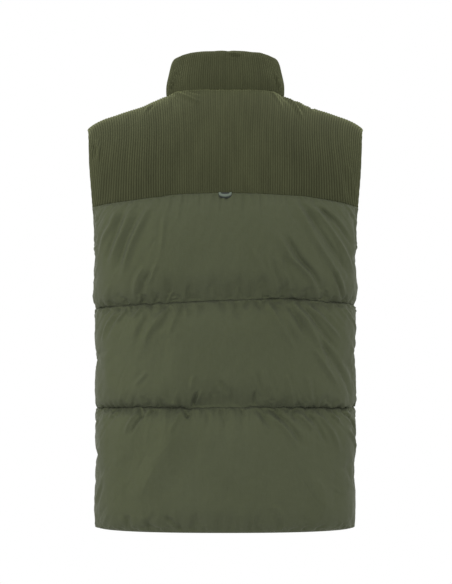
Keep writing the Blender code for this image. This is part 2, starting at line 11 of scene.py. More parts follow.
import bmesh
import bpy
import numpy as np
from bpy.props import FloatProperty, FloatVectorProperty, IntProperty, PointerProperty
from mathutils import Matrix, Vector


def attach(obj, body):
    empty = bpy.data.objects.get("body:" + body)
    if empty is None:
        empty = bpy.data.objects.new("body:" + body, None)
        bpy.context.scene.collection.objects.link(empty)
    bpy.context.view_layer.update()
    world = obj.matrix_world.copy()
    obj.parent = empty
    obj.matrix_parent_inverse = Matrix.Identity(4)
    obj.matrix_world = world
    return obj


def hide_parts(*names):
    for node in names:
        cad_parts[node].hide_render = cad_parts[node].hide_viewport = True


bl_info = {
    "name": "Padded vest",
    "version": (1, 0, 0),
    "blender": (4, 5, 0),
    "location": "3D Viewport > Sidebar > Vest",
    "description": "Makes a padded vest with a corduroy yoke around its fitted model",
    "category": "Object",
}

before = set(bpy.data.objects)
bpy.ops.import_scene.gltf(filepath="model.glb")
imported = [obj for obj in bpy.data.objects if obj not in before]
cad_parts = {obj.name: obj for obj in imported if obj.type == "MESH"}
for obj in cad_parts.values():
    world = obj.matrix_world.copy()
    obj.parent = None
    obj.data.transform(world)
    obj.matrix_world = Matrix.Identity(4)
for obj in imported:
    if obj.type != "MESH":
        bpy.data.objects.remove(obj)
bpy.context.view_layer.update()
GARMENT = "garment"

# ---- The form: the driving sizes of the fitted model -----------------------------------------

YOKE_Z = {"back": -0.171, "front": -0.180}
UNDERARM_Z = -0.288
SEAM_1_Z = -0.336
SEAM_2_Z = -0.500
HEM_Z = -0.686
RIDGE_Y = -0.008
RIDGE_NECK_X = 0.0935
RIDGE_SLOPE = 0.295
RIDGE_SINK = (0.008, 0.024)
TIP_FALL = 0.004
TIP_FALL_POWER = 20
SHOULDER_FLARE = 0.070
ARMHOLE_X = 0.2085
ARMHOLE_CURVE = (2.2, 1.8)
NECK_Y = {"back": 0.080, "front": -0.098}
NECK_SQUARENESS = 2.15
NECK_RISE = {"back": 0.028, "front": -0.034}
NECK_SEAM_TILT = 0.6  # rise of the direction in which the neck seam is thick, for each step out
COLLAR_HEIGHT = 0.065
COLLAR_TAPER = 0.15
COLLAR_TURN = 0.36  # share of the collar's height over which it turns out of its seam
SEAM_GAP = 0.00015
SEAM_CLOSE = 0.00014  # how far the middle of a sewn rim fills the gap
SEAM_HALF = 0.0016  # half the thickness of the cloths in a seam
ZIP_HALF = 0.008
ZIP_TOP = 0.90  # share of the collar's height that the zip's chain reaches
BOX_HEIGHT = 0.0105
# Height, half width, depths of back and front, squareness.
SECTIONS = np.array(
    (
        (-0.686, 0.2010, 0.134, 0.143, 2.40),
        (-0.600, 0.2000, 0.132, 0.142, 2.40),
        (-0.500, 0.2020, 0.129, 0.140, 2.40),
        (-0.415, 0.2010, 0.129, 0.140, 2.40),
        (-0.336, 0.2040, 0.133, 0.141, 2.45),
        (-0.250, 0.2080, 0.137, 0.140, 2.50),
        (-0.171, 0.2185, 0.136, 0.134, 2.50),
    )
)
STEP = 1e-3  # step to either side of a place, for taking a direction there
SEARCH_STEPS = 40
ARC_POINTS = 400

# Out, in, width and profile of the padding beside the lower edge, and beside the upper edge.
PADDING = {
    "yoke": (0.0070, 0.004, 0.070, 1.0, 0.055, 1.0),
    "upper": (0.0140, 0.006, 0.036, 0.66, 0.100, 0.9),
    "middle": (0.0140, 0.006, 0.036, 0.60, 0.056, 0.75),
    "lower": (0.0150, 0.006, 0.040, 0.50, 0.056, 0.75),
    "collar": (0.0055, 0.004, 0.030, 1.0, 0.014, 0.5),
}
OPEN_EDGE_PADDING = (0.022, 0.5)
SIDE_SEAM_PADDING = (0.090, 1.0)
SIDE_SLIMMING = {"upper": 0.12, "middle": 0.30, "lower": 0.36}  # share of padding lost at the sides
SLIMMING_SPAN = (0.190, 0.235)  # the distances around over which it is lost
EDGE_POINTS = 48  # points of an edge that distances are measured from

# ---- Folds, gathers and seams ------------------------------------------------------------------
# Each fold: rise in mm (a trough is negative), half width in mm, sharpness from 0 to 1, and the
# points that it runs through, as centimetres around from the middle of the panel and of height.

FOLDS = {
    "back_upper_panel": (
        (2.0, 7.0, 0.2, (16.8, -18.5), (17.6, -20.8), (18.9, -22.8), (19.8, -25.4)),
        (2.0, 7.5, 0.2, (14.2, -18.2), (15.0, -20.8), (16.3, -23.8), (17.7, -27.4)),
        (2.2, 7.5, 0.2, (11.3, -18.2), (12.6, -21.2), (14.2, -24.8), (15.6, -29.6)),
        (-1.6, 7.0, 0.0, (15.6, -18.6), (16.4, -21.6), (17.6, -24.2), (18.8, -27.8)),
        (-1.7, 7.5, 0.0, (12.8, -18.8), (13.9, -21.6), (15.3, -25.0), (16.6, -29.4)),
        (1.3, 5.0, 0.2, (9.1, -20.2), (9.2, -23.2), (9.5, -26.6)),
        (2.0, 6.0, 0.3, (12.0, -27.8), (13.4, -30.4), (13.6, -33.2)),
        (-1.8, 5.5, 0.1, (10.9, -28.6), (12.4, -31.0), (12.6, -33.0)),
        (1.6, 5.0, 0.3, (10.0, -27.6), (11.5, -30.8)),
        (1.8, 3.6, 0.6, (7.9, -32.0), (8.9, -33.5)),
        (1.5, 4.5, 0.4, (12.8, -31.8), (13.2, -33.5)),
        (1.3, 3.4, 0.5, (-1.9, -31.6), (-1.8, -33.4)),
        (2.4, 7.5, 0.3, (-10.7, -18.2), (-13.1, -23.6), (-16.0, -27.5), (-19.0, -32.4)),
        (-2.2, 6.5, 0.1, (-11.6, -18.6), (-14.6, -23.0), (-17.6, -26.8), (-20.4, -30.2)),
        (2.0, 6.5, 0.3, (-12.6, -18.2), (-15.6, -21.6), (-18.2, -25.0), (-21.0, -28.8)),
        (-2.0, 5.5, 0.2, (-13.8, -18.6), (-17.2, -21.0), (-20.0, -24.2)),
        (2.3, 6.0, 0.4, (-7.8, -23.4), (-9.6, -27.0), (-12.2, -29.6), (-14.1, -32.9)),
        (-2.0, 6.0, 0.1, (-9.0, -23.6), (-11.0, -27.2), (-13.4, -29.8), (-15.2, -33.0)),
        (1.6, 5.5, 0.2, (-4.1, -25.8), (-5.4, -28.6), (-6.6, -31.6)),
        (1.9, 5.5, 0.4, (-7.9, -27.0), (-8.8, -29.6), (-10.2, -33.2)),
        (-1.8, 5.0, 0.2, (-6.9, -27.4), (-7.8, -30.2), (-8.8, -33.2)),
        (-2.6, 4.5, 0.6, (-16.2, -28.4), (-17.8, -31.2), (-19.4, -33.4)),
        (-2.4, 11.0, 0.0, (-21.2, -19.6), (-22.0, -22.6), (-22.4, -25.6)),
    ),
    "back_middle_panel": (
        (-2.0, 8.0, 0.0, (10.5, -34.4), (12.2, -37.2), (13.1, -40.4)),
        (1.6, 6.0, 0.4, (9.0, -34.2), (10.2, -36.4), (11.2, -38.2), (12.1, -40.8)),
        (-1.7, 6.5, 0.1, (8.0, -34.2), (8.9, -36.6), (10.2, -38.8)),
        (1.5, 5.0, 0.5, (6.9, -34.4), (7.6, -36.8), (8.5, -39.4)),
        (1.6, 4.5, 0.5, (17.0, -34.6), (18.5, -36.8), (19.4, -39.4)),
        (-1.3, 4.5, 0.3, (16.0, -34.6), (17.5, -36.9), (18.4, -39.2)),
        (1.5, 4.0, 0.4, (15.0, -34.4), (16.8, -36.6)),
        (1.6, 4.0, 0.5, (12.6, -34.2), (13.9, -36.0)),
        (-2.6, 8.0, 0.1, (-9.2, -34.4), (-10.6, -36.6), (-12.2, -39.4)),
        (2.3, 6.0, 0.4, (-6.2, -34.0), (-8.0, -37.2), (-10.2, -41.6)),
        (2.0, 7.0, 0.3, (-10.2, -34.2), (-13.0, -38.6), (-15.6, -44.4)),
        (2.2, 6.0, 0.4, (-12.4, -34.2), (-15.5, -37.2), (-17.8, -39.6)),
        (-2.0, 5.5, 0.2, (-11.5, -34.6), (-14.3, -38.0), (-17.2, -41.4)),
        (1.6, 5.0, 0.4, (-18.8, -34.4), (-21.6, -36.6), (-23.8, -38.2)),
        (-2.4, 8.0, 0.2, (-14.1, -39.8), (-16.5, -42.9), (-18.8, -45.8), (-20.5, -48.8)),
        (2.2, 6.0, 0.3, (-12.8, -40.6), (-15.0, -43.8), (-17.4, -46.8)),
        (1.7, 5.0, 0.4, (-5.4, -44.0), (-6.6, -47.0), (-7.4, -49.0)),
        (-1.5, 4.5, 0.3, (-4.6, -44.6), (-5.6, -47.4), (-6.2, -49.2)),
        (1.7, 5.0, 0.3, (-8.8, -44.8), (-9.6, -47.4), (-10.1, -49.4)),
        (1.7, 5.0, 0.3, (-12.2, -45.2), (-12.6, -47.8), (-13.2, -49.6)),
        (1.6, 5.0, 0.2, (11.5, -44.4), (13.4, -46.6)),
        (1.4, 4.5, 0.4, (4.7, -45.0), (5.0, -47.4)),
        (-2.6, 3.8, 0.6, (4.1, -47.4), (4.6, -48.8), (5.1, -50.0)),
        (2.0, 4.0, 0.5, (3.4, -47.2), (4.1, -48.8), (4.6, -50.0)),
        (-1.7, 5.5, 0.2, (0.8, -45.8), (-0.7, -48.2)),
        (-2.0, 3.0, 0.7, (-4.3, -47.8), (-4.4, -50.0)),
        (1.2, 14.0, 0.0, (18.6, -40.8), (18.2, -45.0), (16.8, -48.0)),
        (1.8, 22.0, 0.0, (7.4, -37.0), (7.2, -42.0), (6.6, -47.0)),
    ),
    "back_lower_panel": (
        (-1.8, 6.5, 0.2, (-4.4, -50.2), (-6.1, -52.1), (-7.4, -54.2)),
        (1.9, 6.5, 0.3, (-6.0, -50.4), (-8.1, -52.5), (-9.9, -54.8), (-10.8, -57.2)),
        (-1.7, 6.5, 0.2, (-7.2, -50.4), (-9.5, -53.0), (-11.4, -56.2)),
        (2.2, 6.0, 0.3, (-10.6, -50.6), (-12.2, -52.4), (-13.3, -54.0)),
        (2.1, 6.0, 0.3, (-13.5, -50.6), (-14.9, -52.2), (-16.2, -54.0), (-17.3, -56.6)),
        (-1.8, 5.0, 0.2, (-12.4, -51.0), (-13.8, -53.0), (-15.2, -56.0)),
        (1.8, 4.5, 0.4, (-16.2, -50.6), (-17.6, -52.4)),
        (-2.2, 4.5, 0.5, (-18.6, -50.6), (-21.2, -52.6), (-23.2, -55.4)),
        (2.0, 6.0, 0.4, (-19.0, -53.4), (-21.6, -55.4), (-23.4, -57.6)),
        (1.6, 7.0, 0.2, (-7.0, -64.4), (-8.8, -67.4)),
        (-2.3, 3.6, 0.7, (12.3, -51.2), (13.3, -52.8), (14.0, -54.4)),
        (1.9, 4.5, 0.4, (13.2, -50.8), (14.2, -52.4), (15.0, -54.4)),
        (-1.8, 3.2, 0.6, (10.8, -50.4), (11.7, -51.7)),
        (1.6, 4.0, 0.4, (16.6, -50.6), (18.2, -51.8)),
        (1.8, 5.0, 0.3, (6.6, -50.4), (7.2, -52.0), (8.0, -54.0)),
        (-2.2, 3.2, 0.7, (6.2, -50.2), (5.7, -51.2), (5.0, -50.4)),
        (1.3, 7.0, 0.2, (20.4, -62.0), (22.2, -65.2)),
        (-1.0, 6.0, 0.1, (19.2, -61.6), (20.8, -65.4)),
        (-2.2, 7.0, 0.1, (14.6, -66.0), (14.4, -68.4)),
        (-1.9, 3.6, 0.5, (11.6, -67.2), (11.4, -68.5)),
        (-1.7, 5.0, 0.2, (8.7, -66.0), (6.2, -68.4)),
        (2.6, 26.0, 0.0, (7.2, -50.8), (8.4, -56.0), (11.2, -61.0), (13.2, -64.5)),
        (-1.4, 18.0, 0.0, (1.0, -53.0), (0.0, -60.0), (-2.0, -66.0)),
        (1.2, 16.0, 0.0, (-12.0, -60.0), (-14.6, -64.0), (-16.0, -67.0)),
    ),
    "front_upper_left": (
        (2.4, 6.5, 0.3, (13.6, -19.4), (11.6, -23.6), (9.0, -28.6)),
        (-2.0, 6.0, 0.1, (14.8, -19.6), (12.8, -24.2), (10.4, -29.6)),
        (2.1, 5.5, 0.4, (17.2, -19.6), (15.6, -23.0), (14.4, -27.2)),
        (1.8, 5.0, 0.4, (4.2, -27.6), (5.2, -30.4), (5.4, -33.2)),
        (1.7, 4.5, 0.5, (12.4, -30.4), (13.4, -33.2)),
    ),
    "front_upper_right": (
        (2.5, 6.5, 0.3, (-12.2, -19.4), (-10.6, -24.4), (-7.6, -30.2)),
        (-2.1, 6.0, 0.1, (-13.4, -19.6), (-11.8, -25.0), (-9.0, -31.0)),
        (1.9, 5.5, 0.4, (-16.4, -20.2), (-15.4, -24.6), (-13.0, -29.4)),
        (1.6, 5.0, 0.4, (-4.6, -28.8), (-4.2, -33.2)),
        (-1.8, 4.0, 0.5, (-15.6, -30.0), (-17.4, -33.2)),
    ),
    "front_middle_left": (
        (2.3, 6.0, 0.4, (5.4, -34.4), (7.8, -38.6), (11.2, -43.8)),
        (-2.2, 6.0, 0.1, (6.8, -34.6), (9.4, -38.8), (12.6, -43.4)),
        (1.9, 5.5, 0.4, (15.4, -34.4), (17.6, -38.2)),
        (1.8, 5.0, 0.3, (4.4, -44.8), (4.0, -49.4)),
        (-2.0, 4.0, 0.5, (10.2, -46.4), (9.6, -49.8)),
    ),
    "front_middle_right": (
        (2.4, 6.0, 0.4, (-7.0, -34.4), (-10.2, -39.4), (-13.8, -45.6)),
        (-2.1, 6.0, 0.1, (-8.4, -34.6), (-11.4, -39.2), (-15.0, -44.6)),
        (1.9, 5.5, 0.4, (-14.2, -34.6), (-17.4, -37.8)),
        (1.6, 4.5, 0.4, (-3.4, -34.4), (-4.2, -38.0)),
        (1.7, 5.0, 0.3, (-6.4, -45.6), (-6.8, -49.4)),
    ),
    "front_lower_left": (
        (2.2, 6.0, 0.4, (10.8, -50.6), (9.0, -54.6), (6.8, -59.4)),
        (-2.0, 6.0, 0.1, (12.0, -51.0), (10.4, -55.2), (8.4, -60.4)),
        (1.8, 5.0, 0.4, (4.2, -50.6), (4.8, -54.4)),
        (-2.0, 6.0, 0.2, (12.6, -65.8), (13.0, -68.4)),
    ),
    "front_lower_right": (
        (2.3, 6.0, 0.4, (-8.6, -50.6), (-12.0, -54.8), (-15.6, -59.8)),
        (-2.0, 6.0, 0.1, (-9.8, -50.8), (-13.4, -55.2), (-16.8, -59.6)),
        (1.7, 5.0, 0.4, (-3.6, -50.6), (-4.2, -55.0)),
        (-1.8, 6.0, 0.2, (-7.6, -66.0), (-7.0, -68.4)),
    ),
}

# The same on the corduroy: rise, half width, sharpness, and points in centimetres across and up.
CORDUROY_FOLDS = {
    "back_yoke": (
        (2.2, 4.5, 0.5, (8.3, 0.0), (7.0, -1.3), (5.2, -2.2), (3.0, -3.2)),
        (-1.8, 5.0, 0.2, (7.4, 0.4), (5.4, -0.8), (3.2, -1.6)),
        (1.5, 3.5, 0.5, (8.8, -0.4), (7.9, -1.7), (7.0, -3.0)),
        (1.4, 4.0, 0.4, (9.4, -0.8), (8.7, -2.6), (8.1, -4.8)),
        (-1.4, 3.5, 0.5, (11.0, -2.4), (11.8, -4.0)),
        (1.0, 3.5, 0.4, (11.8, -2.6), (12.6, -4.4)),
        (2.6, 4.5, 0.5, (-8.4, 0.4), (-10.0, -1.2), (-11.0, -3.4), (-12.2, -5.8)),
        (-2.0, 4.5, 0.3, (-9.4, 0.2), (-11.0, -1.8), (-12.2, -4.4)),
        (-2.2, 3.5, 0.5, (-13.2, -1.6), (-14.2, -3.6)),
        (1.3, 4.0, 0.4, (-7.0, -0.4), (-8.4, -2.6), (-9.0, -4.6)),
        (1.6, 6.0, 0.3, (-18.8, -12.0), (-19.6, -14.4), (-20.4, -16.4)),
        (-1.2, 6.0, 0.2, (-17.8, -12.4), (-18.6, -14.8), (-19.2, -16.6)),
        (-2.4, 5.0, 0.3, (20.8, -8.6), (20.2, -9.8), (20.6, -11.2)),
        (1.8, 4.0, 0.4, (20.0, -8.2), (19.4, -10.0), (19.8, -11.8)),
        (1.0, 9.0, 0.1, (18.6, -12.6), (19.0, -14.8), (19.8, -16.6)),
    ),
    "front_yoke": (
        (1.8, 4.5, 0.4, (9.0, -1.0), (7.8, -3.4), (7.0, -6.4)),
        (-1.5, 4.5, 0.2, (9.9, -1.4), (8.9, -4.0), (8.2, -7.0)),
        (1.3, 4.5, 0.3, (14.6, -3.4), (13.2, -6.8), (12.6, -10.2)),
        (1.5, 6.0, 0.2, (19.0, -12.0), (18.2, -14.6), (18.4, -16.8)),
    ),
}
# Dips of the shoulder seam: centimetres out from the middle, to the wearer's left where positive,
# then depth and half width in mm. A negative depth is a rise.
SHOULDER_SCALLOPS = (
    (9.5, -1.6, 7), (11.2, 0.5, 7), (12.9, 0.8, 7), (17.6, 1.4, 6), (19.4, -0.8, 9),
    (-10.0, 2.0, 9), (-11.6, 2.4, 11), (-13.6, 2.4, 7), (-15.2, 1.6, 9), (-19.4, -0.6, 9),
)
SCALLOP_REACH = 0.022

# How far the back yoke's lower edge droops, and its neck seam rises, in mm, by centimetres across.
YOKE_DROOP = (
    (-20.5, -12.5), (-18, -9.5), (-15, -6.5), (-12, -3.5), (-8.7, -2.6), (-5, -1.0), (0, 0.0), (4, -1.0),
    (7, -1.8), (8.5, -3.0), (10, -5.5), (12, -6.5), (13, -7.8), (15, -9.5), (18, -11.0), (20.5, -12.5),
)
DROOP_REACH = 0.035
NECK_SEAM_RISE = ((0, 1.0), (2, 2.4), (4, 5.4), (6, 8.6), (7.7, 8.8), (8.6, 5.0), (9.2, 0.8), (9.4, 0.0))
NECK_RISE_REACH = 0.024

# How far the back's quilting seams wander up and down, in mm, by hundredths of the way from the
# middle to the side seam. The front's seams start at the same heights there and fade to level.
SEAM_WANDER = {
    "seam_1": (
        (-100, -0.5), (-69, 0.4), (-58, 0.0), (-52, 1.2), (-46, 2.6), (-38, 3.4), (-28, 3.4), (-17, 1.8),
        (-8, 1.0), (0, 0.4), (14, -1.0), (20, -1.8), (28, -2.8), (35, -3.8), (45, -4.2), (52, -5.2),
        (69, -6.0), (100, -6.0),
    ),
    "seam_2": (
        (-100, 2.5), (-85, 3.4), (-75, 1.2), (-50, 1.6), (-35, 1.6), (-22, 1.2), (-18, 3.2), (-13, 2.4),
        (-9, 0.6), (-4, 1.9), (0, 1.1), (8, 1.6), (14, 0.6), (20, -0.2), (25, 1.4), (40, 2.0), (50, 2.6),
        (60, 1.5), (100, 1.5),
    ),
}
SEAM_JOLT = 0.00022  # height of the small waves that a seam's own gathers give it
JOLT_REACH = 0.012

# How far the padding hangs over the seam below it, and how strongly the cloth beside a seam is
# gathered, as shares of the full amount, by centimetres around from the middle.
OVERHANG = {
    "seam_1": (
        (-32, 0.2), (-20, 0.3), (-11, 0.6), (-7, 0.7), (-3, 0.3), (5, 0.15), (12, 0.2), (20, 0.4), (32, 0.4),
    ),
    "seam_2": (
        (-32, 0.7), (-20, 1.1), (-12, 0.8), (-7, 0.6), (-4.8, 0.3), (-3.5, 0.05), (0, 0.0), (3.6, 0.05),
        (5.2, 0.4), (7, 0.9), (14, 0.8), (22, 0.7), (32, 0.5),
    ),
    "hem": ((-32, 0.3), (32, 0.3)),
}
FRONT_OVERHANG = ((-32, 0.7), (-16, 1.1), (-6, 0.9), (0, 0.5), (5, 1.0), (14, 0.9), (32, 0.7))
OVERHANG_PEAK = 0.0075  # height above the seam at which the padding hangs down furthest
GATHERS = {
    "seam_1": (
        (-32, 0.6), (-14, 0.8), (-9, 1.3), (-2, 1.2), (1, 0.4), (4, 0.5), (9, 1.0), (20, 0.8), (32, 0.6),
    ),
    "seam_2": (
        (-32, 0.6), (-18, 0.8), (-9, 1.0), (-4, 0.9), (0, 0.7), (5, 0.9), (12, 1.0), (20, 0.7), (32, 0.5),
    ),
    "hem": ((-32, 0.8), (-12, 0.4), (0, 0.6), (8, 1.0), (15, 1.1), (24, 0.7), (32, 0.8)),
}
FRONT_GATHERS = ((-32, 0.6), (-20, 0.9), (-10, 1.0), (-3, 0.7), (6, 1.1), (16, 0.8), (32, 0.6))
YOKE_GATHERS = ((-32, 1), (32, 1))
# Share of the full gather height, and length of the longest gathers.
GATHERS_BELOW = (0.8, 0.020)
GATHERS_ABOVE = (1.0, 0.036)
GATHERS_UNDER_YOKE = (0.35, 0.030)
PLEATS_BELOW = 0.050  # length of the longest pleats that start at the seam below, and at the one above
PLEATS_ABOVE = 0.045
FLAT_STRENGTH = 0.75  # share of the overhang below which a seam lies flat
FLAT_SEAM_PADDING = (0.05, 1.1)  # width and profile of the padding over a flat seam

EDGE_Z = {"seam_1": SEAM_1_Z, "seam_2": SEAM_2_Z, "hem": HEM_Z}
PANEL_PLACES = (
    ("back_{}_panel", "back", 0),
    ("front_{}_left", "front", 1),
    ("front_{}_right", "front", -1),
)
PANEL_LEVELS = (("upper", "seam_1", None), ("middle", "seam_2", "seam_1"), ("lower", "hem", "seam_2"))
# Name, kind, face, side (1 left, -1 right, 0 both), and the seams below and above.
PANELS = [
    (name.format(kind), kind, face, side, below, above)
    for name, face, side in PANEL_PLACES
    for kind, below, above in PANEL_LEVELS
]
PANEL_CELL = 0.0052  # cell of the grid that is blown up
PANEL_REFINE = {"back": (4, 4), "front": (2, 3)}  # rows and columns that a cell is cut into for folds
ROW_CROWDING = 0.42  # how much closer the rows stand beside the seams
PRESSURE_FRAMES = 20
CLOTH_SETTINGS = {
    "quality": 6,
    "mass": 0.25,
    "tension_stiffness": 12,
    "compression_stiffness": 12,
    "shear_stiffness": 4,
    "bending_stiffness": 0.35,
    "use_pressure": True,
    "uniform_pressure_force": 4.0,
    "shrink_min": -0.035,
    "vertex_group_mass": "pinned",
}
START_SHARE = 0.80  # share of the padding that the panels start from before they are blown up
LARGEST_SWELL = 0.005  # how far the pressure can move the outer skin

FOLD_GAIN = 1.35
FOLD_PARTS = 14  # about how many straight parts a fold is drawn with
FOLD_NARROWING = 0.64  # share of its half width at which a fold has sunk to about a third
CREST_SHARE = 0.45  # share of a sharp fold's rise that is in the line along its crest
CREST_WIDTH = 0.38
FOLD_HOLLOW = (0.28, 2.0)  # the hollows beside a fold: depth, and distance in half widths
FOLD_ENDS = (-0.05, 0.18, 0.62, 1.05)  # shares of a fold's length at which it rises and fades
SIDE_FLATTENING = (0.6, 0.215, 0.255)  # share of the folds' rise lost at the sides, from and to
CREASE_GAIN = 1.5
CREASE_COUNT = 150
# Soft unevenness of the nylon: height, size of the lumps, seed, and how much taller than wide.
NYLON_LUMPS = ((0.0009, 0.055, 100, 2.2), (0.00035, 0.026, 150, 1.8), (0.00022, 0.013, 200, 1.5))
NOISE_WAVES = 10
NOISE_SCALE = 1.4


# ---- Properties --------------------------------------------------------------------------------


def length(name, description, default):
    return FloatProperty(name=name, description=description, default=default, unit="LENGTH", precision=5)


def amount(name, description, default):
    return FloatProperty(name=name, description=description, default=default)


def colour(name, description, default):
    return FloatVectorProperty(
        name=name, description=description, default=default, size=3, min=0, max=1, subtype="COLOR"
    )


class VestSizes(bpy.types.PropertyGroup):
    """Sizes of the cloth's detail."""

    wale_pitch: length("Wale pitch", "Width of a wale with its groove, at the middle of the back", 0.0034)
    wale_height: length("Wale height", "Height of a wale above its grooves", 0.0013)
    overhang: length("Overhang", "How far the padding sags over a quilting seam", 0.0030)
    gather: length("Gather height", "Height of the small gathers beside the seams", 0.0027)
    stitch_pitch: length("Stitch pitch", "Length of a stitch with its gap", 0.0032)
    stitch_width: length("Thread width", "Thickness of the sewing thread", 0.00045)
    tooth_pitch: length("Tooth pitch", "Distance between the zip's teeth", 0.0016)


class VestColours(bpy.types.PropertyGroup):
    """Colours of the cloths and fittings."""

    nylon: colour("Nylon", "Quilted shell cloth", (0.0565, 0.0595, 0.0495))
    corduroy: colour("Corduroy", "Yoke and collar", (0.064, 0.069, 0.034))
    tape: colour("Zip tape", "Woven tape and teeth", (0.045, 0.050, 0.032))
    thread: colour("Thread", "Seam stitches", (0.050, 0.056, 0.034))
    metal: colour("Metal", "Slider, pull and retainer", (0.10, 0.10, 0.095))
    rim: colour("Tab rim", "Raised rim of the rubber tab", (0.109, 0.138, 0.108))
    # The tab's own dark field colour, also laid on its foot strips as painted shadow beneath the tab.
    field: colour("Tab field", "Sunken field and foot of the rubber tab", (0.010, 0.015, 0.012))


class VestStage(bpy.types.PropertyGroup):
    """Camera and light."""

    distance: length("Camera distance", "From the camera to its target", 2.4)
    tilt: FloatProperty(
        name="Tilt",
        description="How far below the target the camera is",
        default=math.radians(4.1),
        subtype="ANGLE",
    )
    width: length("View width", "Width of the view at the target", 0.6983)
    side_power: amount("Side lights", "Power of each side light in watts", 18.0)
    top_power: amount("Top light", "Power of the light above in watts", 20.0)
    back_power: amount("Main lights", "Power of the lights behind and in front", 12.0)
    world: amount("Fill", "Strength of the even light from all round", 0.60)
    seed: IntProperty(name="Seed", description="Seed of the small gathers", default=7)


# ---- The form ----------------------------------------------------------------------------------


def section(height):
    """Half width, depths of back and front, and squareness of the body at a height."""
    slopes = np.gradient(SECTIONS, SECTIONS[:, 0], axis=0)
    i = int(np.clip(np.searchsorted(SECTIONS[:, 0], height) - 1, 0, len(SECTIONS) - 2))
    step = SECTIONS[i + 1, 0] - SECTIONS[i, 0]
    t = (height - SECTIONS[i, 0]) / step
    return cubic(t, SECTIONS[i], SECTIONS[i + 1], step * slopes[i], step * slopes[i + 1])[1:]


def cubic(t, start, end, start_slope, end_slope):
    """A smooth way from start to end as t goes from 0 to 1."""
    value = (2 * t**3 - 3 * t**2 + 1) * start + (3 * t**2 - 2 * t**3) * end
    return value + (t**3 - 2 * t**2 + t) * start_slope + (t**3 - t**2) * end_slope


def run_along(points):
    """Distances from the start of a line of points, or up each column of a grid."""
    steps = np.linalg.norm(np.diff(points, axis=0), axis=-1)
    return np.concatenate([np.zeros_like(steps[:1]), np.cumsum(steps, axis=0)])


@functools.cache
def quarter_ring(height, face):
    """A quarter of a level section, centre to side: distances around, and its x and y."""
    half_width, back, front, squareness = section(height)
    angle = np.linspace(0, math.pi / 2, ARC_POINTS)
    x = half_width * np.sin(angle) ** (2 / squareness)
    y = (back if face == "back" else front) * np.abs(np.cos(angle)) ** (2 / squareness)
    around = np.concatenate([[0], np.cumsum(np.hypot(np.diff(x), np.diff(y)))])
    return around, x, y if face == "back" else -y


def body_row(shares, height, face):
    """Points of the body at a height, at shares of the way from its centre line to its side."""
    around, xs, ys = quarter_ring(float(height), face)
    place = np.abs(shares) * around[-1]
    x = np.sign(shares) * np.interp(place, around, xs)
    return np.stack([x, np.interp(place, around, ys), np.full_like(x, height)], axis=-1)


def body_row_out(shares, height, face):
    """The form's outward directions along a row of the body."""
    low, high = max(height - STEP, HEM_Z), min(height + STEP, YOKE_Z[face])
    along = body_row(shares, high, face) - body_row(shares, low, face)
    right = np.clip(shares + STEP, -1, 1)
    left = np.clip(shares - STEP, -1, 1)
    across = body_row(right, height, face) - body_row(left, height, face)
    out = np.cross(across, along)
    return unit(out * np.sign((out * body_row(shares, height, face))[:, :2].sum(axis=1))[:, None])


def unit(vectors):
    return vectors / np.linalg.norm(vectors, axis=-1, keepdims=True)


def share_at_x(x, height, face):
    around, xs, _ = quarter_ring(float(height), face)
    return float(np.interp(x, xs, around) / around[-1])


def armhole_share(height, face):
    """The share at which a body panel ends: on the armhole's edge, or at the side seam."""
    fall = (YOKE_Z[face] - height) / (YOKE_Z[face] - UNDERARM_Z)
    if fall >= 1:
        return 1.0
    power, root = ARMHOLE_CURVE
    open_share = 1 - share_at_x(ARMHOLE_X, YOKE_Z[face], face)
    return 1 - open_share * (1 - max(fall, 0.0) ** power) ** (1 / root)


def ridge_height(x, face):
    """Top of the form: the shoulder ridge, and the line that carries it on across the neck."""
    wide = np.abs(x)
    tip_fall = TIP_FALL * (wide / (ARMHOLE_X * (1 + SHOULDER_FLARE))) ** TIP_FALL_POWER
    beside = np.maximum(wide - RIDGE_NECK_X, 0)
    sink, sink_width = RIDGE_SINK
    outer = -RIDGE_SLOPE * beside - sink * (1 - np.exp(-((beside / sink_width) ** 2)))
    inside = 1 - (x / RIDGE_NECK_X) ** 2
    inner = RIDGE_SLOPE * RIDGE_NECK_X / 2 * inside + NECK_RISE[face] * inside**2
    return np.where(wide > RIDGE_NECK_X, outer, inner) - tip_fall


def arch(base_x, turn, face):
    """Points above the yoke's edge at base_x, where turn runs from 0 there to 1 on the ridge."""
    low = YOKE_Z[face]
    _, xs, ys = quarter_ring(low, face)
    foot_y = np.interp(np.abs(base_x), xs, ys)
    rise, reach = np.sin(turn * math.pi / 2), np.cos(turn * math.pi / 2)
    x = base_x * (1 + SHOULDER_FLARE * rise * (base_x / ARMHOLE_X) ** 2)
    y = RIDGE_Y + (foot_y - RIDGE_Y) * reach
    return np.stack([x, y, low + (ridge_height(x, face) - low) * rise], axis=-1)


def arch_out(base_x, turn, face):
    """The form's outward directions above the yoke's edge."""
    right, left = np.minimum(base_x + STEP, ARMHOLE_X), np.maximum(base_x - STEP, -ARMHOLE_X)
    up, down = np.minimum(turn + STEP, 1), np.maximum(turn - STEP, 0)
    across = arch(right, turn, face) - arch(left, turn, face)
    out = np.cross(across, arch(base_x, up, face) - arch(base_x, down, face))
    away = arch(base_x, turn, face)
    away[..., 2] -= np.minimum(away[..., 2], YOKE_Z["front"])
    return unit(out * np.sign((out * away).sum(axis=-1, keepdims=True)))


def neck_y(x, face):
    inside = np.maximum(0.0, 1 - np.abs(x / RIDGE_NECK_X) ** NECK_SQUARENESS)
    return RIDGE_Y + (NECK_Y[face] - RIDGE_Y) * inside ** (1 / NECK_SQUARENESS)


def bisect(low, high, is_low):
    """The values between low and high at which is_low stops being true."""
    for _ in range(SEARCH_STEPS):
        middle = (low + high) / 2
        test = is_low(middle)
        low, high = np.where(test, middle, low), np.where(test, high, middle)
    return high


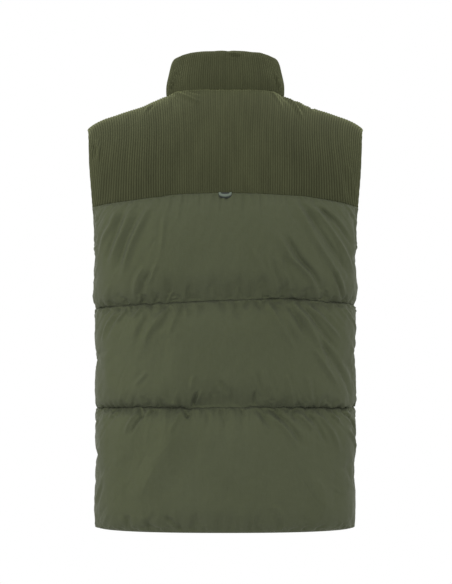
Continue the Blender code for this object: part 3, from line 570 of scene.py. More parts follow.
@functools.cache
def neck_corner_x():
    """The base_x of the column that ends where the ridge meets the neck seam."""

    def is_inside(base_x):
        return arch(base_x, np.ones(1), "back")[:, 0] < RIDGE_NECK_X

    return float(bisect(np.zeros(1), np.full(1, ARMHOLE_X), is_inside)[0])


def last_turn(base_x, face):
    """Where the columns at base_x end: on the neck seam, or on the shoulder seam at the ridge."""

    def is_outside(turn):
        points = arch(base_x, turn, face)
        return np.abs(points[:, 1] - RIDGE_Y) > np.abs(neck_y(points[:, 0], face) - RIDGE_Y)

    end = bisect(np.zeros_like(base_x), np.ones_like(base_x), is_outside)
    return np.where(np.abs(base_x) >= neck_corner_x(), 1.0, end)


def collar_points(base, rise):
    """Points at shares of the collar's height above the neck seam."""
    inwards = 1 - COLLAR_TAPER * rise
    y = RIDGE_Y + (base[..., 1] - RIDGE_Y) * inwards
    return np.stack([base[..., 0] * inwards, y, base[..., 2] + COLLAR_HEIGHT * rise], axis=-1)


def collar_out(base, rise):
    """The collar's outward directions, which turn into the neck seam's at its foot."""
    x, y = base[..., 0], base[..., 1] - RIDGE_Y
    radius = np.hypot(x, y)
    wall_out = np.stack([x / radius, y / radius, COLLAR_TAPER * radius / COLLAR_HEIGHT], axis=-1)
    seam_part = np.clip(1 - rise / COLLAR_TURN, 0, 1)[..., None]
    return unit(seam_part * neck_seam_direction(base) + (1 - seam_part) * unit(wall_out))


def neck_seam_direction(points):
    """The way that both sides of the neck seam are thick: out and up, between yoke and collar."""
    flat = np.stack([points[..., 0], points[..., 1] - RIDGE_Y, points[..., 0] * 0], axis=-1)
    return unit(unit(flat) + np.array([0, 0, NECK_SEAM_TILT]))


# ---- Fields on the form ------------------------------------------------------------------------


def smooth(value, low, high):
    """0 below low, 1 above high, and a smooth rise between."""
    t = np.clip((value - low) / (high - low), 0, 1)
    return t * t * (3 - 2 * t)


def table_value(table, around):
    """A value from a table of places in centimetres and values."""
    places, values = np.array(table).T
    return np.interp(around * 100, places, values)


def table_mm(table, across):
    """A length from a table of places in centimetres and lengths in mm."""
    return table_value(table, across) * 1e-3


def refine_line(points, factor):
    """Cubic refinement along the first axis, through all the points."""
    n = len(points)
    slopes = np.gradient(points, axis=0) if n > 2 else np.repeat(points[1:] - points[:1], 2, axis=0)
    place = np.linspace(0, n - 1, (n - 1) * factor + 1)
    i = np.minimum(place.astype(int), n - 2)
    t = (place - i).reshape((-1,) + (1,) * (points.ndim - 1))
    return cubic(t, points[i], points[i + 1], slopes[i], slopes[i + 1])


def fold_rise(across, height, folds):
    """Rise of a panel's folds at each place, in metres."""
    rise = np.zeros(across.shape)
    hollow, hollow_place = FOLD_HOLLOW
    for size, half_width, sharpness, *points in folds:
        size, half_width = size * 1e-3, half_width * FOLD_NARROWING * 1e-3
        line = refine_line(np.array(points) * 1e-2, FOLD_PARTS // (len(points) - 1))
        best = np.full(across.shape, 1e9)
        share = np.zeros(across.shape)
        run_total = 0.0
        lengths = np.linalg.norm(np.diff(line, axis=0), axis=1)
        total = lengths.sum()
        for start, end, step in zip(line[:-1], line[1:], lengths, strict=True):
            run = end - start
            along = np.clip(((across - start[0]) * run[0] + (height - start[1]) * run[1]) / step**2, 0, 1)
            aside = np.hypot(across - start[0] - along * run[0], height - start[1] - along * run[1])
            nearer = aside < best
            best = np.where(nearer, aside, best)
            share = np.where(nearer, (run_total + along * step) / total, share)
            run_total += step
        s = best / half_width
        sharp = CREST_SHARE * sharpness
        crest = np.exp(-(s**2)) * (1 - sharp) + sharp * np.exp(-((s / CREST_WIDTH) ** 2))
        crest -= hollow * np.exp(-((s - hollow_place) ** 2))
        taper = smooth(share, *FOLD_ENDS[:2]) * (1 - smooth(share, *FOLD_ENDS[2:]))
        rise += size * crest * taper
    return rise


def gather_rise(around, distance, seed, strength, longest):
    """Rise of the small gathers that stand across a seam, at distances from it."""
    rng = np.random.default_rng(seed)
    span = np.abs(around).max()
    rise = np.zeros(around.shape)
    place = -span
    while place < span:
        place += rng.uniform(0.004, 0.013)
        width = rng.uniform(0.0016, 0.0042)
        reach = rng.uniform(0.25, 1.0) ** 1.6 * longest
        lean = rng.normal(0, 0.28)
        size = rng.uniform(-0.7, 1.0) * table_value(strength, place)
        aside = (around - place - lean * distance) / (width * (1 + distance / 0.03))
        near = np.exp(-(aside**2)) * smooth(distance, 0.0, 0.0035) * np.exp(-((distance / reach) ** 2))
        rise += size * near
    return rise


def fine_creases(across, height, seed, count, bounds):
    """Rise of many short fine creases that lean outwards on their way down, as the long folds do."""
    rng = np.random.default_rng(seed)
    low, high = bounds
    reach = np.abs(across).max()
    rise = np.zeros(across.shape)
    for _ in range(count):
        place = math.copysign(reach * rng.uniform(0.12, 1.0) ** 0.8, rng.uniform(-1, 1))
        start = rng.choice((high, low + rng.uniform(0.0, 1.0) * (high - low), low + rng.uniform(0.005, 0.04)))
        run = rng.uniform(0.015, 0.075)
        lean = place / 0.22 + rng.normal(0, 0.16)
        half_width = rng.uniform(0.0013, 0.0034)
        size = rng.choice((-1.0, 1.0)) * rng.uniform(0.25, 0.8) * half_width * 0.26
        way = np.array((lean, -1.0)) / math.hypot(lean, 1.0)
        along = (across - place) * way[0] + (height - start) * way[1]
        bend = rng.normal(0, 0.12) * along**2 / run
        aside = (across - place) * way[1] - (height - start) * way[0] + bend
        length_share = along / run
        inside = smooth(length_share, 0.0, 0.3) * (1 - smooth(length_share, 0.55, 1.0))
        rise += size * inside * np.exp(-((aside / half_width) ** 2))
    return rise


def seam_pleats(around, distance, seed, strength, longest):
    """Rise of long thin pleats that run from a seam and lean outwards away from it."""
    rng = np.random.default_rng(seed)
    span = np.abs(around).max()
    rise = np.zeros(around.shape)
    place = -span
    while place < span:
        place += rng.uniform(0.006, 0.019)
        half_width = rng.uniform(0.0012, 0.0024)
        reach = rng.uniform(0.3, 1.0) * longest
        lean = -0.55 * place / 0.2 + rng.normal(0, 0.16)
        size = rng.choice((-0.6, 1.0)) * rng.uniform(0.35, 1.0) * table_value(strength, place)
        size *= half_width * 0.42
        bend = rng.normal(0, 2.0) * distance**2
        aside = (around - place - lean * distance - bend) / (half_width * (1 + distance / 0.05))
        along = smooth(distance, 0.0, 0.005) * (1 - smooth(distance, 0.35 * reach, reach))
        rise += size * along * (np.exp(-(aside**2)) - 0.3 * np.exp(-((np.abs(aside) - 1.9) ** 2)))
    return rise


def soft_noise(across, height, size, seed, stretch):
    """Smooth noise of about -1 to 1 with lumps of a size; stretch makes them taller than wide."""
    rng = np.random.default_rng(seed)
    rise = np.zeros(across.shape)
    for _ in range(NOISE_WAVES):
        angle = rng.uniform(0, 2 * math.pi)
        wave = 2 * math.pi / (size * rng.uniform(0.7, 1.6))
        phase = rng.uniform(0, 2 * math.pi)
        rise += np.sin(wave * (math.cos(angle) * across + math.sin(angle) * height / stretch) + phase)
    return rise / NOISE_WAVES**0.5 / NOISE_SCALE


def distance_to_line(points, line):
    """How far each grid point is from the nearest place on a line of points."""
    start, run = line[:-1], np.diff(line, axis=0)
    from_start = points[:, :, None] - start
    along = np.clip((from_start * run).sum(axis=3) / (run * run).sum(axis=1), 0, 1)
    return np.linalg.norm(from_start - along[..., None] * run, axis=3).min(axis=2)


def edge_line(points):
    """An edge's points, thinned out."""
    keep = np.unique(np.linspace(0, len(points) - 1, min(len(points), EDGE_POINTS)).astype(int))
    return points[keep]


def edge_fullness(distance, width, profile):
    return (1 - (1 - np.clip(distance / width, 0, 1)) ** 2) ** profile


def upright_padding(points, edge):
    """Width and profile of the padding beside an upright edge, by the height of each point."""
    open_part = np.clip((points[..., 2] - UNDERARM_Z) / (UNDERARM_Z - SEAM_1_Z), 0, 1)
    if abs(edge[0, 0]) < 2 * ZIP_HALF:
        open_part = np.ones_like(open_part)
    pairs = zip(OPEN_EDGE_PADDING, SIDE_SEAM_PADDING, strict=True)
    return [open_part * a + (1 - open_part) * b for a, b in pairs]


def seam_fullness(kind, bottom, top):
    """Share of the full padding at distances from the lower and the upper edge."""
    _, _, bottom_width, bottom_profile, top_width, top_profile = PADDING[kind]
    return edge_fullness(bottom, bottom_width, bottom_profile) * edge_fullness(top, top_width, top_profile)


def grid_fullness(points, kind, bottom, top):
    """Share of the full padding at each grid point."""
    full = seam_fullness(kind, bottom, top)
    for column in (0, -1):
        edge = edge_line(points[:, column])
        width, profile = upright_padding(points, edge)
        full = full * edge_fullness(distance_to_line(points, edge), width, profile)
    return full


# ---- Meshes ------------------------------------------------------------------------------------


def grid_rim(rows, columns):
    """The grid's outer ring of points, in order: bottom, right, top, left."""
    ring = [(0, c) for c in range(columns)]
    ring += [(r, columns - 1) for r in range(1, rows)]
    ring += [(rows - 1, c) for c in range(columns - 2, -1, -1)]
    ring += [(r, 0) for r in range(rows - 2, 0, -1)]
    return np.array(ring)


def thinned(count, step):
    """Every step-th index of a count, with both ends."""
    return np.unique(np.append(np.arange(0, count - 1, step), count - 1))


def new_object(name, data):
    """An object in the scene for a mesh, a light or a camera."""
    result = bpy.data.objects.new(name, data)
    bpy.context.scene.collection.objects.link(result)
    return result


def build_wall(name, outer, inner, cloth, is_open, inner_step, rim_bulge=0.0011, pin=False):
    """A closed wall: a fine outer skin, a rounded rim and a coarser inner skin.

    is_open marks the rim points that are a free edge, which is rounded outwards.
    """
    rows, columns = outer.shape[:2]
    ring = grid_rim(rows, columns)
    outer_index = np.arange(rows * columns).reshape(rows, columns)
    vertices = [outer.reshape(-1, 3)]
    uv = [cloth.reshape(-1, 2)]
    quads = np.stack(
        [outer_index[:-1, :-1], outer_index[:-1, 1:], outer_index[1:, 1:], outer_index[1:, :-1]], axis=-1
    ).reshape(-1, 4)
    faces = quads.tolist()

    # The rounded rim, in three rings between the skins' edges.
    r, c = ring.T
    inward = np.array([np.clip(r, 1, rows - 2), np.clip(c, 1, columns - 2)])
    half = (outer[r, c] - inner[r, c]) / 2
    middle = (outer[r, c] + inner[r, c]) / 2
    interior = (outer[inward[0], inward[1]] + inner[inward[0], inward[1]]) / 2
    away = middle - interior
    half_unit = unit(half)
    away = unit(away - (away * half_unit).sum(axis=1, keepdims=True) * half_unit)
    bulge = np.where(is_open[r, c], rim_bulge, SEAM_CLOSE)[:, None]
    count = rows * columns
    rings = [outer_index[r, c]]
    for angle in (math.pi / 4, math.pi / 2, 3 * math.pi / 4):
        vertices.append(middle + half * math.cos(angle) + away * bulge * math.sin(angle))
        uv.append(cloth[r, c])
        rings.append(count + np.arange(len(r)))
        count += len(r)
    inner_index = np.full((rows, columns), -1)
    inner_index[r, c] = count + np.arange(len(r))
    vertices.append(inner[r, c])
    uv.append(cloth[r, c])
    count += len(r)
    rings.append(inner_index[r, c])
    for first, second in zip(rings[:-1], rings[1:], strict=True):
        a, b = np.roll(first, -1), np.roll(second, -1)
        faces += np.stack([first, second, b, a], axis=-1).tolist()

    # The inner skin: coarse cells, whose outermost ones take in every rim point.
    row_keep, column_keep = thinned(rows, inner_step[0]), thinned(columns, inner_step[1])
    for row in row_keep[1:-1]:
        for column in column_keep[1:-1]:
            inner_index[row, column] = count
            count += 1
            vertices.append(inner[row, column][None])
            uv.append(cloth[row, column][None])

    def side(start, end):
        """Indexes of the inner skin's points from one corner of a cell towards the next."""
        (r0, c0), (r1, c1) = start, end
        steps = max(abs(r1 - r0), abs(c1 - c0))
        places = [(r0 + (r1 - r0) * k // steps, c0 + (c1 - c0) * k // steps) for k in range(steps)]
        return [inner_index[p] for p in places if inner_index[p] >= 0]

    for r0, r1 in zip(row_keep[:-1], row_keep[1:], strict=True):
        for c0, c1 in zip(column_keep[:-1], column_keep[1:], strict=True):
            corners = ((r0, c0), (r1, c0), (r1, c1), (r0, c1))
            faces.append([int(i) for k in range(4) for i in side(corners[k], corners[(k + 1) % 4])])

    vertices, uv = np.concatenate(vertices), np.concatenate(uv)
    mesh = bpy.data.meshes.new(name)
    mesh.from_pydata(vertices, [], faces)
    normal = np.cross(outer[0, 1] - outer[0, 0], outer[1, 0] - outer[0, 0])
    if np.dot(normal, outer[0, 0] - inner[0, 0]) < 0:
        mesh.flip_normals()
    layer = mesh.uv_layers.new(name="cloth")
    loops = np.empty(len(mesh.loops), dtype=np.int32)
    mesh.loops.foreach_get("vertex_index", loops)
    layer.data.foreach_set("uv", uv[loops].astype(np.float32).ravel())
    mesh.shade_smooth()
    mesh.validate()
    piece = new_object(name, mesh)
    if pin:
        group = piece.vertex_groups.new(name="pinned")
        held = np.ones(len(vertices), dtype=bool)
        held[outer_index[1:-1, 1:-1].ravel()] = False
        group.add(np.nonzero(held)[0].tolist(), 1.0, "REPLACE")
    return piece


def trimmed(points, gap):
    """The grid with its outermost rows and columns drawn in by a gap."""
    result = points.copy()
    for edge, inner in ((0, 1), (-1, -2)):
        for grid in (result, result.transpose(1, 0, 2)):
            step = grid[inner] - grid[edge]
            grid[edge] += step / np.linalg.norm(step, axis=1, keepdims=True) * gap
    return result


def points_at(places, run, line):
    """Points at distances along a line, whose own points are at the distances in run."""
    return np.stack([np.interp(places, run, line[:, k]) for k in range(3)], axis=-1)


def finish_piece(piece, replaced=(), materials=()):
    """Gives a piece its materials, and says what it rides on and stands for."""
    for material in materials:
        piece.data.materials.append(material)
    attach(piece, GARMENT)
    if replaced:
        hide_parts(*replaced)


# ---- Corduroy ----------------------------------------------------------------------------------

YOKE_ROWS = {"back": 84, "front": 52}
YOKE_CROWDING = 0.5
YOKE_NARROWING = 0.014  # share by which the armhole edges are drawn in, midway up the yoke
COLLAR_ROWS = 34
COLLAR_CROWDING = 0.45
COLUMNS_PER_WALE = 6
HALF_BACK = 0.2
WALE_LEVEL = 0.62  # share of a wale's height that is level with the plain cloth
WALE_AT_EDGE = 0.35  # share of its height that a wale keeps at the cloth's edges
WALE_UPRIGHT = 0.75  # how far the wales stand upright, instead of following the cloth
WALE_WIDENING = 0.16  # share of the wales left out towards the armholes, where they are wider
WALE_BOW = 0.018  # how far the wales bow in from the armholes halfway up
WALE_FAN = 0.10  # share by which the wales spread outwards towards the shoulders
CORDUROY_LUMPS = 0.0005


def rib(phase):
    """Height of a wale from 0 in its groove to 1 on its crown, by its phase."""
    return np.abs(np.sin(math.pi * phase)) ** 0.8


def crowded(count, crowding):
    """Shares from 0 to 1 that stand closer at both ends."""
    t = np.linspace(0, 1, count)
    return t - crowding * np.sin(2 * math.pi * t) / (2 * math.pi)


def cloth_across(base_x, turn, face):
    """Distance across the yoke's cloth from its centre line, at constant turn."""
    steps = np.linspace(0, ARMHOLE_X, 160)
    turns = np.linspace(0, 1, 40)
    grid = arch(*np.meshgrid(steps, turns), face)
    table = run_along(grid.transpose(1, 0, 2)).T
    x = np.abs(base_x) / steps[1]
    t = turn / turns[1]
    i, j = np.clip(x.astype(int), 0, len(steps) - 2), np.clip(t.astype(int), 0, len(turns) - 2)
    fx, ft = x - i, t - j
    low = table[j, i] * (1 - fx) + table[j, i + 1] * fx
    high = table[j + 1, i] * (1 - fx) + table[j + 1, i + 1] * fx
    return np.sign(base_x) * (low * (1 - ft) + high * ft)


def dips(across, table):
    """Depth of dips from a table of places in centimetres, and depths and half widths in mm."""
    return sum(
        depth * 1e-3 * np.exp(-(((across - place * 1e-2) / (half_width * 1e-3)) ** 2))
        for place, depth, half_width in table
    )


def wale_rise(across, near_edge, sizes):
    """Rise of the wales, which are pressed down beside the cloth's edges."""
    pressed = WALE_AT_EDGE + (1 - WALE_AT_EDGE) * smooth(near_edge, 0.0, 0.003)
    return sizes.wale_height * (rib(across / sizes.wale_pitch) - WALE_LEVEL) * pressed


def yoke_piece(face, side, name, sizes):
    """A corduroy yoke: the back one, or one of the front ones."""
    around, xs, _ = quarter_ring(YOKE_Z[face], face)
    reach = float(np.interp(ARMHOLE_X, xs, around))
    cell = sizes.wale_pitch / COLUMNS_PER_WALE
    if side:
        first = float(np.interp(ZIP_HALF, xs, around))
        places = side * np.linspace(first, reach, round((reach - first) / cell) + 1)[::side]
    else:
        places = np.linspace(-reach, reach, 2 * round(reach / cell) + 1)
    base_x = np.sign(places) * np.interp(np.abs(places), around, xs)
    corner = neck_corner_x()
    nearest = np.argmin(np.abs(np.abs(base_x) - corner))
    for k in {nearest} if side else {nearest, len(base_x) - 1 - nearest}:
        base_x[k] = math.copysign(corner, base_x[k])
    ends = last_turn(base_x, face)
    rows = crowded(YOKE_ROWS[face], YOKE_CROWDING)
    turn = rows[:, None] * ends[None]
    bx = np.broadcast_to(base_x, turn.shape)
    points, out = arch(bx, turn, face), arch_out(bx, turn, face)
    on_neck = np.abs(base_x) < corner + STEP * 0.5
    toward_seam = smooth(rows, 0.90, 1.0)[:, None, None]
    seam_out = neck_seam_direction(points[-1])[None]
    blend = np.where(on_neck[None, :, None], toward_seam, 0)
    out = unit(out * (1 - blend) + seam_out * blend)

    across = cloth_across(bx, turn, face)
    edge = cloth_across(np.full_like(bx, ARMHOLE_X), turn, face)
    bow = WALE_BOW * np.sin(math.pi * turn**0.8) * (np.abs(across) / edge) ** 4
    x = points[..., 0]
    upright = x * (1 - WALE_WIDENING * (x / HALF_BACK) ** 2)
    across = (1 - WALE_UPRIGHT) * across + WALE_UPRIGHT * upright + np.sign(across) * bow
    across *= 1 - WALE_FAN * np.clip(1 + points[..., 2] / 0.10, 0, 1) ** 2

    bottom = distance_to_line(points, edge_line(points[0]))
    top = distance_to_line(points, edge_line(points[-1]))
    left = distance_to_line(points, edge_line(points[:, 0]))
    right = distance_to_line(points, edge_line(points[:, -1]))
    full = grid_fullness(points, "yoke", bottom, top)
    swell_out, swell_in = PADDING["yoke"][:2]
    near_edge = np.minimum(np.minimum(bottom, top), np.minimum(left, right))
    lift = smooth(near_edge, 0.0, 0.006)
    folds = CORDUROY_FOLDS["front_yoke" if side else "back_yoke"]
    rise = fold_rise(np.abs(x) if side else x, points[..., 2], folds) * lift
    rise += CORDUROY_LUMPS * soft_noise(x, points[..., 2], 0.05, 11 + side, 1.6) * lift
    beside_ridge = np.exp(-((top / SCALLOP_REACH) ** 2)) * smooth(top, -0.002, 0.003)
    rise -= dips(x, SHOULDER_SCALLOPS) * beside_ridge
    rise += wale_rise(across, near_edge, sizes) * (0.7 + 0.3 * smooth(np.abs(x), 0.04, 0.13))
    base = trimmed(points, SEAM_GAP)
    base[..., 0] *= 1 - YOKE_NARROWING * np.sin(math.pi * turn / ends) * (x / HALF_BACK) ** 2
    if not side:
        base[..., 2] += table_mm(YOKE_DROOP, x) * np.exp(-((bottom / DROOP_REACH) ** 1.5))
        base[..., 2] += table_mm(NECK_SEAM_RISE, np.abs(x)) * np.exp(-((top / NECK_RISE_REACH) ** 1.5))
    outer = base + out * (SEAM_HALF + swell_out * full + rise)[..., None]
    inner = base - out * (SEAM_HALF + swell_in * full)[..., None]
    is_open = np.zeros(turn.shape, dtype=bool)
    if side >= 0:
        is_open[2:-2, -1] = True
    if side <= 0:
        is_open[2:-2, 0] = True
    cloth = np.stack([across, run_along(points)], axis=-1)
    return build_wall(name, outer, inner, cloth, is_open, (5, 12))


def neck_line():
    """Points of the neck seam from the right front edge round the back to the left."""
    corner = neck_corner_x()
    parts = []
    for face, start, end in (
        ("front", -ZIP_HALF, -corner),
        ("back", -corner, corner),
        ("front", corner, ZIP_HALF),
    ):
        base_x = start + (end - start) * (1 - np.cos(np.linspace(0, math.pi, 500))) / 2
        line = arch(base_x, last_turn(base_x, face), face)
        parts.append(line[1:] if parts else line)
    return np.concatenate(parts)


# Folds of the collar: rise, half width, sharpness, and points in centimetres around from the
# middle of the back and up from the neck seam.
COLLAR_FOLDS = (
    (1.7, 3.2, 0.6, (10.2, 0.7), (9.7, 1.6), (9.0, 2.2)),
    (-1.6, 3.2, 0.4, (10.8, 0.8), (10.3, 1.8), (9.8, 2.6)),
    (1.4, 4.0, 0.4, (10.6, 3.4), (9.6, 3.6), (8.4, 3.9)),
    (1.6, 3.5, 0.4, (-0.3, 6.1), (-1.6, 5.9), (-3.1, 5.8)),
    (-1.2, 3.4, 0.2, (-0.8, 5.5), (-2.8, 5.3)),
    (-1.5, 4.5, 0.4, (-9.6, 0.4), (-9.2, 2.0), (-8.2, 3.4)),
    (1.6, 4.0, 0.4, (-10.2, 0.5), (-9.9, 2.2), (-9.0, 3.8)),
    (1.2, 5.0, 0.3, (-19.0, 1.0), (-20.0, 3.0), (-20.2, 5.0)),
    (1.2, 5.0, 0.3, (19.6, 1.0), (19.0, 3.2), (18.0, 5.2)),
)
# How far the collar's top edge rises, in mm, by centimetres across at that edge.
COLLAR_RISE = ((0, 1.7), (1.8, 2.9), (3.7, 5.3), (5.5, 7.4), (6.5, 5.6), (7.4, 2.4), (8.2, 0.6), (9.5, 0.0))
# Dips of the top edge: centimetres around from the middle, then depth and half width in mm.
COLLAR_DIPS = ((-0.6, 0.9, 5.0), (2.4, 0.5, 12.0), (-5.0, 0.4, 9.0), (7.0, 0.5, 8.0))


def collar_piece(name, sizes):
    """The stand collar, from the right front edge round the back to the left."""
    line = neck_line()
    run = run_along(line)
    columns = round(run[-1] / (sizes.wale_pitch / COLUMNS_PER_WALE)) + 1
    places = np.linspace(0, run[-1], columns)
    base = points_at(places, run, line)
    middle = places[-1] / 2
    rows = crowded(COLLAR_ROWS, COLLAR_CROWDING)
    spread = np.broadcast_to(base, (len(rows), *base.shape))
    share = np.broadcast_to(rows[:, None], spread.shape[:2])
    points, out = collar_points(spread, share), collar_out(spread, share)
    across = np.broadcast_to(places - middle, share.shape)
    widened = 1 + 0.42 * np.exp(-(((np.abs(places - middle) - 0.085) / 0.035) ** 2))
    wales = np.concatenate([[0], np.cumsum(np.diff(places) / ((widened[1:] + widened[:-1]) / 2))])
    wales = np.broadcast_to(wales - wales[-1] / 2, share.shape)
    up, top = COLLAR_HEIGHT * share, COLLAR_HEIGHT * (1 - share)
    sides = np.minimum(across + middle, middle - across)
    full = seam_fullness("collar", up, top) * edge_fullness(sides, *OPEN_EDGE_PADDING)
    near_edge = np.minimum(np.minimum(up, top), sides)
    lift = smooth(near_edge, 0.0, 0.004)
    rise = fold_rise(across, up, COLLAR_FOLDS) * lift
    rise += CORDUROY_LUMPS * soft_noise(across, up, 0.04, 5, 1.8) * lift
    rise += wale_rise(wales, near_edge, sizes)
    base_points = trimmed(points, SEAM_GAP * 1.3)
    is_behind = smooth(base[:, 1], -0.01, 0.03)
    lift_top = table_mm(COLLAR_RISE, np.abs(base[:, 0]) * (1 - COLLAR_TAPER)) * is_behind
    base_points[..., 2] += (lift_top - dips(across, COLLAR_DIPS)) * smooth(up, 0.01, COLLAR_HEIGHT)
    foot = table_mm(NECK_SEAM_RISE, np.abs(base[:, 0])) * (base[:, 1] > RIDGE_Y)
    base_points[..., 2] += foot * (1 - share) ** 1.2
    swell_out, swell_in = PADDING["collar"][:2]
    outer = base_points + out * (SEAM_HALF + swell_out * full + rise)[..., None]
    inner = base_points - out * (SEAM_HALF + swell_in * full)[..., None]
    is_open = np.zeros(up.shape, dtype=bool)
    is_open[-1, :] = True
    is_open[2:, 0] = is_open[2:, -1] = True
    return build_wall(name, outer, inner, np.stack([wales, up], axis=-1), is_open, (4, 12))


# ---- Quilted nylon -----------------------------------------------------------------------------


class Panel:
    """One quilted panel: its grids, coarse for the pressure and fine for the folds."""

    def __init__(self, name, kind, face, side, seam_below, seam_above):
        self.name, self.kind, self.face, self.side = name, kind, face, side
        self.seam_below, self.seam_above = seam_below, seam_above
        self.low, self.high = EDGE_Z[seam_below], EDGE_Z.get(seam_above, YOKE_Z[face])
        widest = quarter_ring(self.low, face)[0][-1] * (1 if side else 2)
        self.columns = round(widest / PANEL_CELL)
        self.rows = round((self.high - self.low) / PANEL_CELL)

    def gathers(self, seam):
        """How strongly the cloth is gathered beside a seam."""
        return GATHERS[seam] if self.face == "back" else FRONT_GATHERS

    def overhang(self):
        """How far the padding hangs over the seam below."""
        is_own = self.face == "back" or self.seam_below == "hem"
        return OVERHANG[self.seam_below] if is_own else FRONT_OVERHANG

    def grid(self, cuts):
        """Points, outward directions, distances around and heights, with each cell cut up."""
        row_cuts, column_cuts = cuts
        columns = np.linspace(0 if self.side else -1, 1, self.columns * column_cuts + 1)
        if self.side < 0:
            columns = -columns[::-1]
        heights = self.low + (self.high - self.low) * crowded(self.rows * row_cuts + 1, ROW_CROWDING)
        points, out, around = [], [], []
        for height in heights:
            first = share_at_x(ZIP_HALF, height, self.face) if self.side else 0.0
            last = armhole_share(height, self.face)
            shares = (self.side or np.sign(columns)) * (first + (last - first) * np.abs(columns))
            points.append(body_row(shares, height, self.face))
            out.append(body_row_out(shares, height, self.face))
            around.append(shares * quarter_ring(float(height), self.face)[0][-1])
        return np.array(points), np.array(out), np.array(around), heights[:, None]

    def skins(self, cuts, share):
        """Outer and inner skins of the plain padding, with the grid that they stand on."""
        points, out, around, heights = self.grid(cuts)
        bottom = np.broadcast_to(heights - self.low, around.shape)
        top = np.broadcast_to(self.high - heights, around.shape)
        full = grid_fullness(points, self.kind, bottom, top)
        swell_out, swell_in = PADDING[self.kind][:2]
        full = full * (1 - SIDE_SLIMMING[self.kind] * smooth(np.abs(around), *SLIMMING_SPAN))
        base = trimmed(points, SEAM_GAP)
        shares = around / np.array([quarter_ring(float(z), self.face)[0][-1] for z in heights[:, 0]])[:, None]
        low_move, low_jolt = seam_shift(self.seam_below, self.face, shares, around)
        high_move, high_jolt = seam_shift(self.seam_above, self.face, shares, around)
        part = bottom / (self.high - self.low)
        base[..., 2] += low_move * (1 - part) + high_move * part
        base[..., 2] += low_jolt * np.exp(-bottom / JOLT_REACH) + high_jolt * np.exp(-top / JOLT_REACH)
        if self.kind == "upper" and self.face == "back":
            base[..., 2] += table_mm(YOKE_DROOP, points[..., 0]) * part
        outer = base + out * (SEAM_HALF + swell_out * full * share)[..., None]
        inner = base - out * (SEAM_HALF + swell_in * full)[..., None]
        return outer, inner, out, around, bottom, top


def seam_shift(seam, face, share, around):
    """How far a quilting seam is moved up, and how far it is jolted by its own gathers."""
    if seam not in SEAM_WANDER:
        return 0 * share, 0 * share
    places, moves = np.array(SEAM_WANDER[seam]).T
    if face == "back":
        wander = np.interp(share * 100, places, moves)
    else:
        wander = np.interp(np.sign(share) * 100, places, moves) * share**2
    rng = np.random.default_rng(len(seam) + int(seam[-1]) * 7 + (face == "back"))
    jolt = sum(
        np.sin(2 * math.pi * around / size + phase)
        for size, phase in zip(rng.uniform(0.007, 0.032, 9), rng.uniform(0, 6.28, 9), strict=True)
    )
    return wander * 1e-3, jolt * SEAM_JOLT * np.clip((1 - np.abs(share)) / 0.06, 0, 1)


def blow_up(panels):
    """Blows up all the panels together and returns how far their outer skins moved."""
    scene = bpy.context.scene
    pieces = []
    for panel in panels:
        outer, inner, _, around, bottom, _ = panel.skins((1, 1), START_SHARE)
        cloth = np.stack([around, bottom], axis=-1)
        is_open = np.zeros(around.shape, dtype=bool)
        piece = build_wall(f"blank_{panel.name}", outer, inner, cloth, is_open, (1, 1), pin=True)
        modifier = piece.modifiers.new("cloth", "CLOTH")
        for key, value in CLOTH_SETTINGS.items():
            setattr(modifier.settings, key, value)
        modifier.settings.effector_weights.gravity = 0
        modifier.collision_settings.use_collision = False
        modifier.point_cache.frame_start = 1
        modifier.point_cache.frame_end = PRESSURE_FRAMES
        pieces.append((piece, outer))
    scene.frame_start, scene.frame_end = 1, PRESSURE_FRAMES
    for step in range(1, PRESSURE_FRAMES + 1):
        scene.frame_set(step)
    graph = bpy.context.evaluated_depsgraph_get()
    moves = []
    for piece, outer in pieces:
        mesh = piece.evaluated_get(graph).data
        places = np.empty(len(mesh.vertices) * 3, dtype=np.float32)
        mesh.vertices.foreach_get("co", places)
        moved = places[: outer.size].reshape(outer.shape) - outer
        size = np.linalg.norm(moved, axis=2, keepdims=True)
        moves.append(moved * LARGEST_SWELL * np.tanh(size / LARGEST_SWELL) / np.maximum(size, 1e-9))
    scene.frame_set(1)
    for piece, _ in pieces:
        mesh = piece.data
        bpy.data.objects.remove(piece)
        bpy.data.meshes.remove(mesh)
    return moves


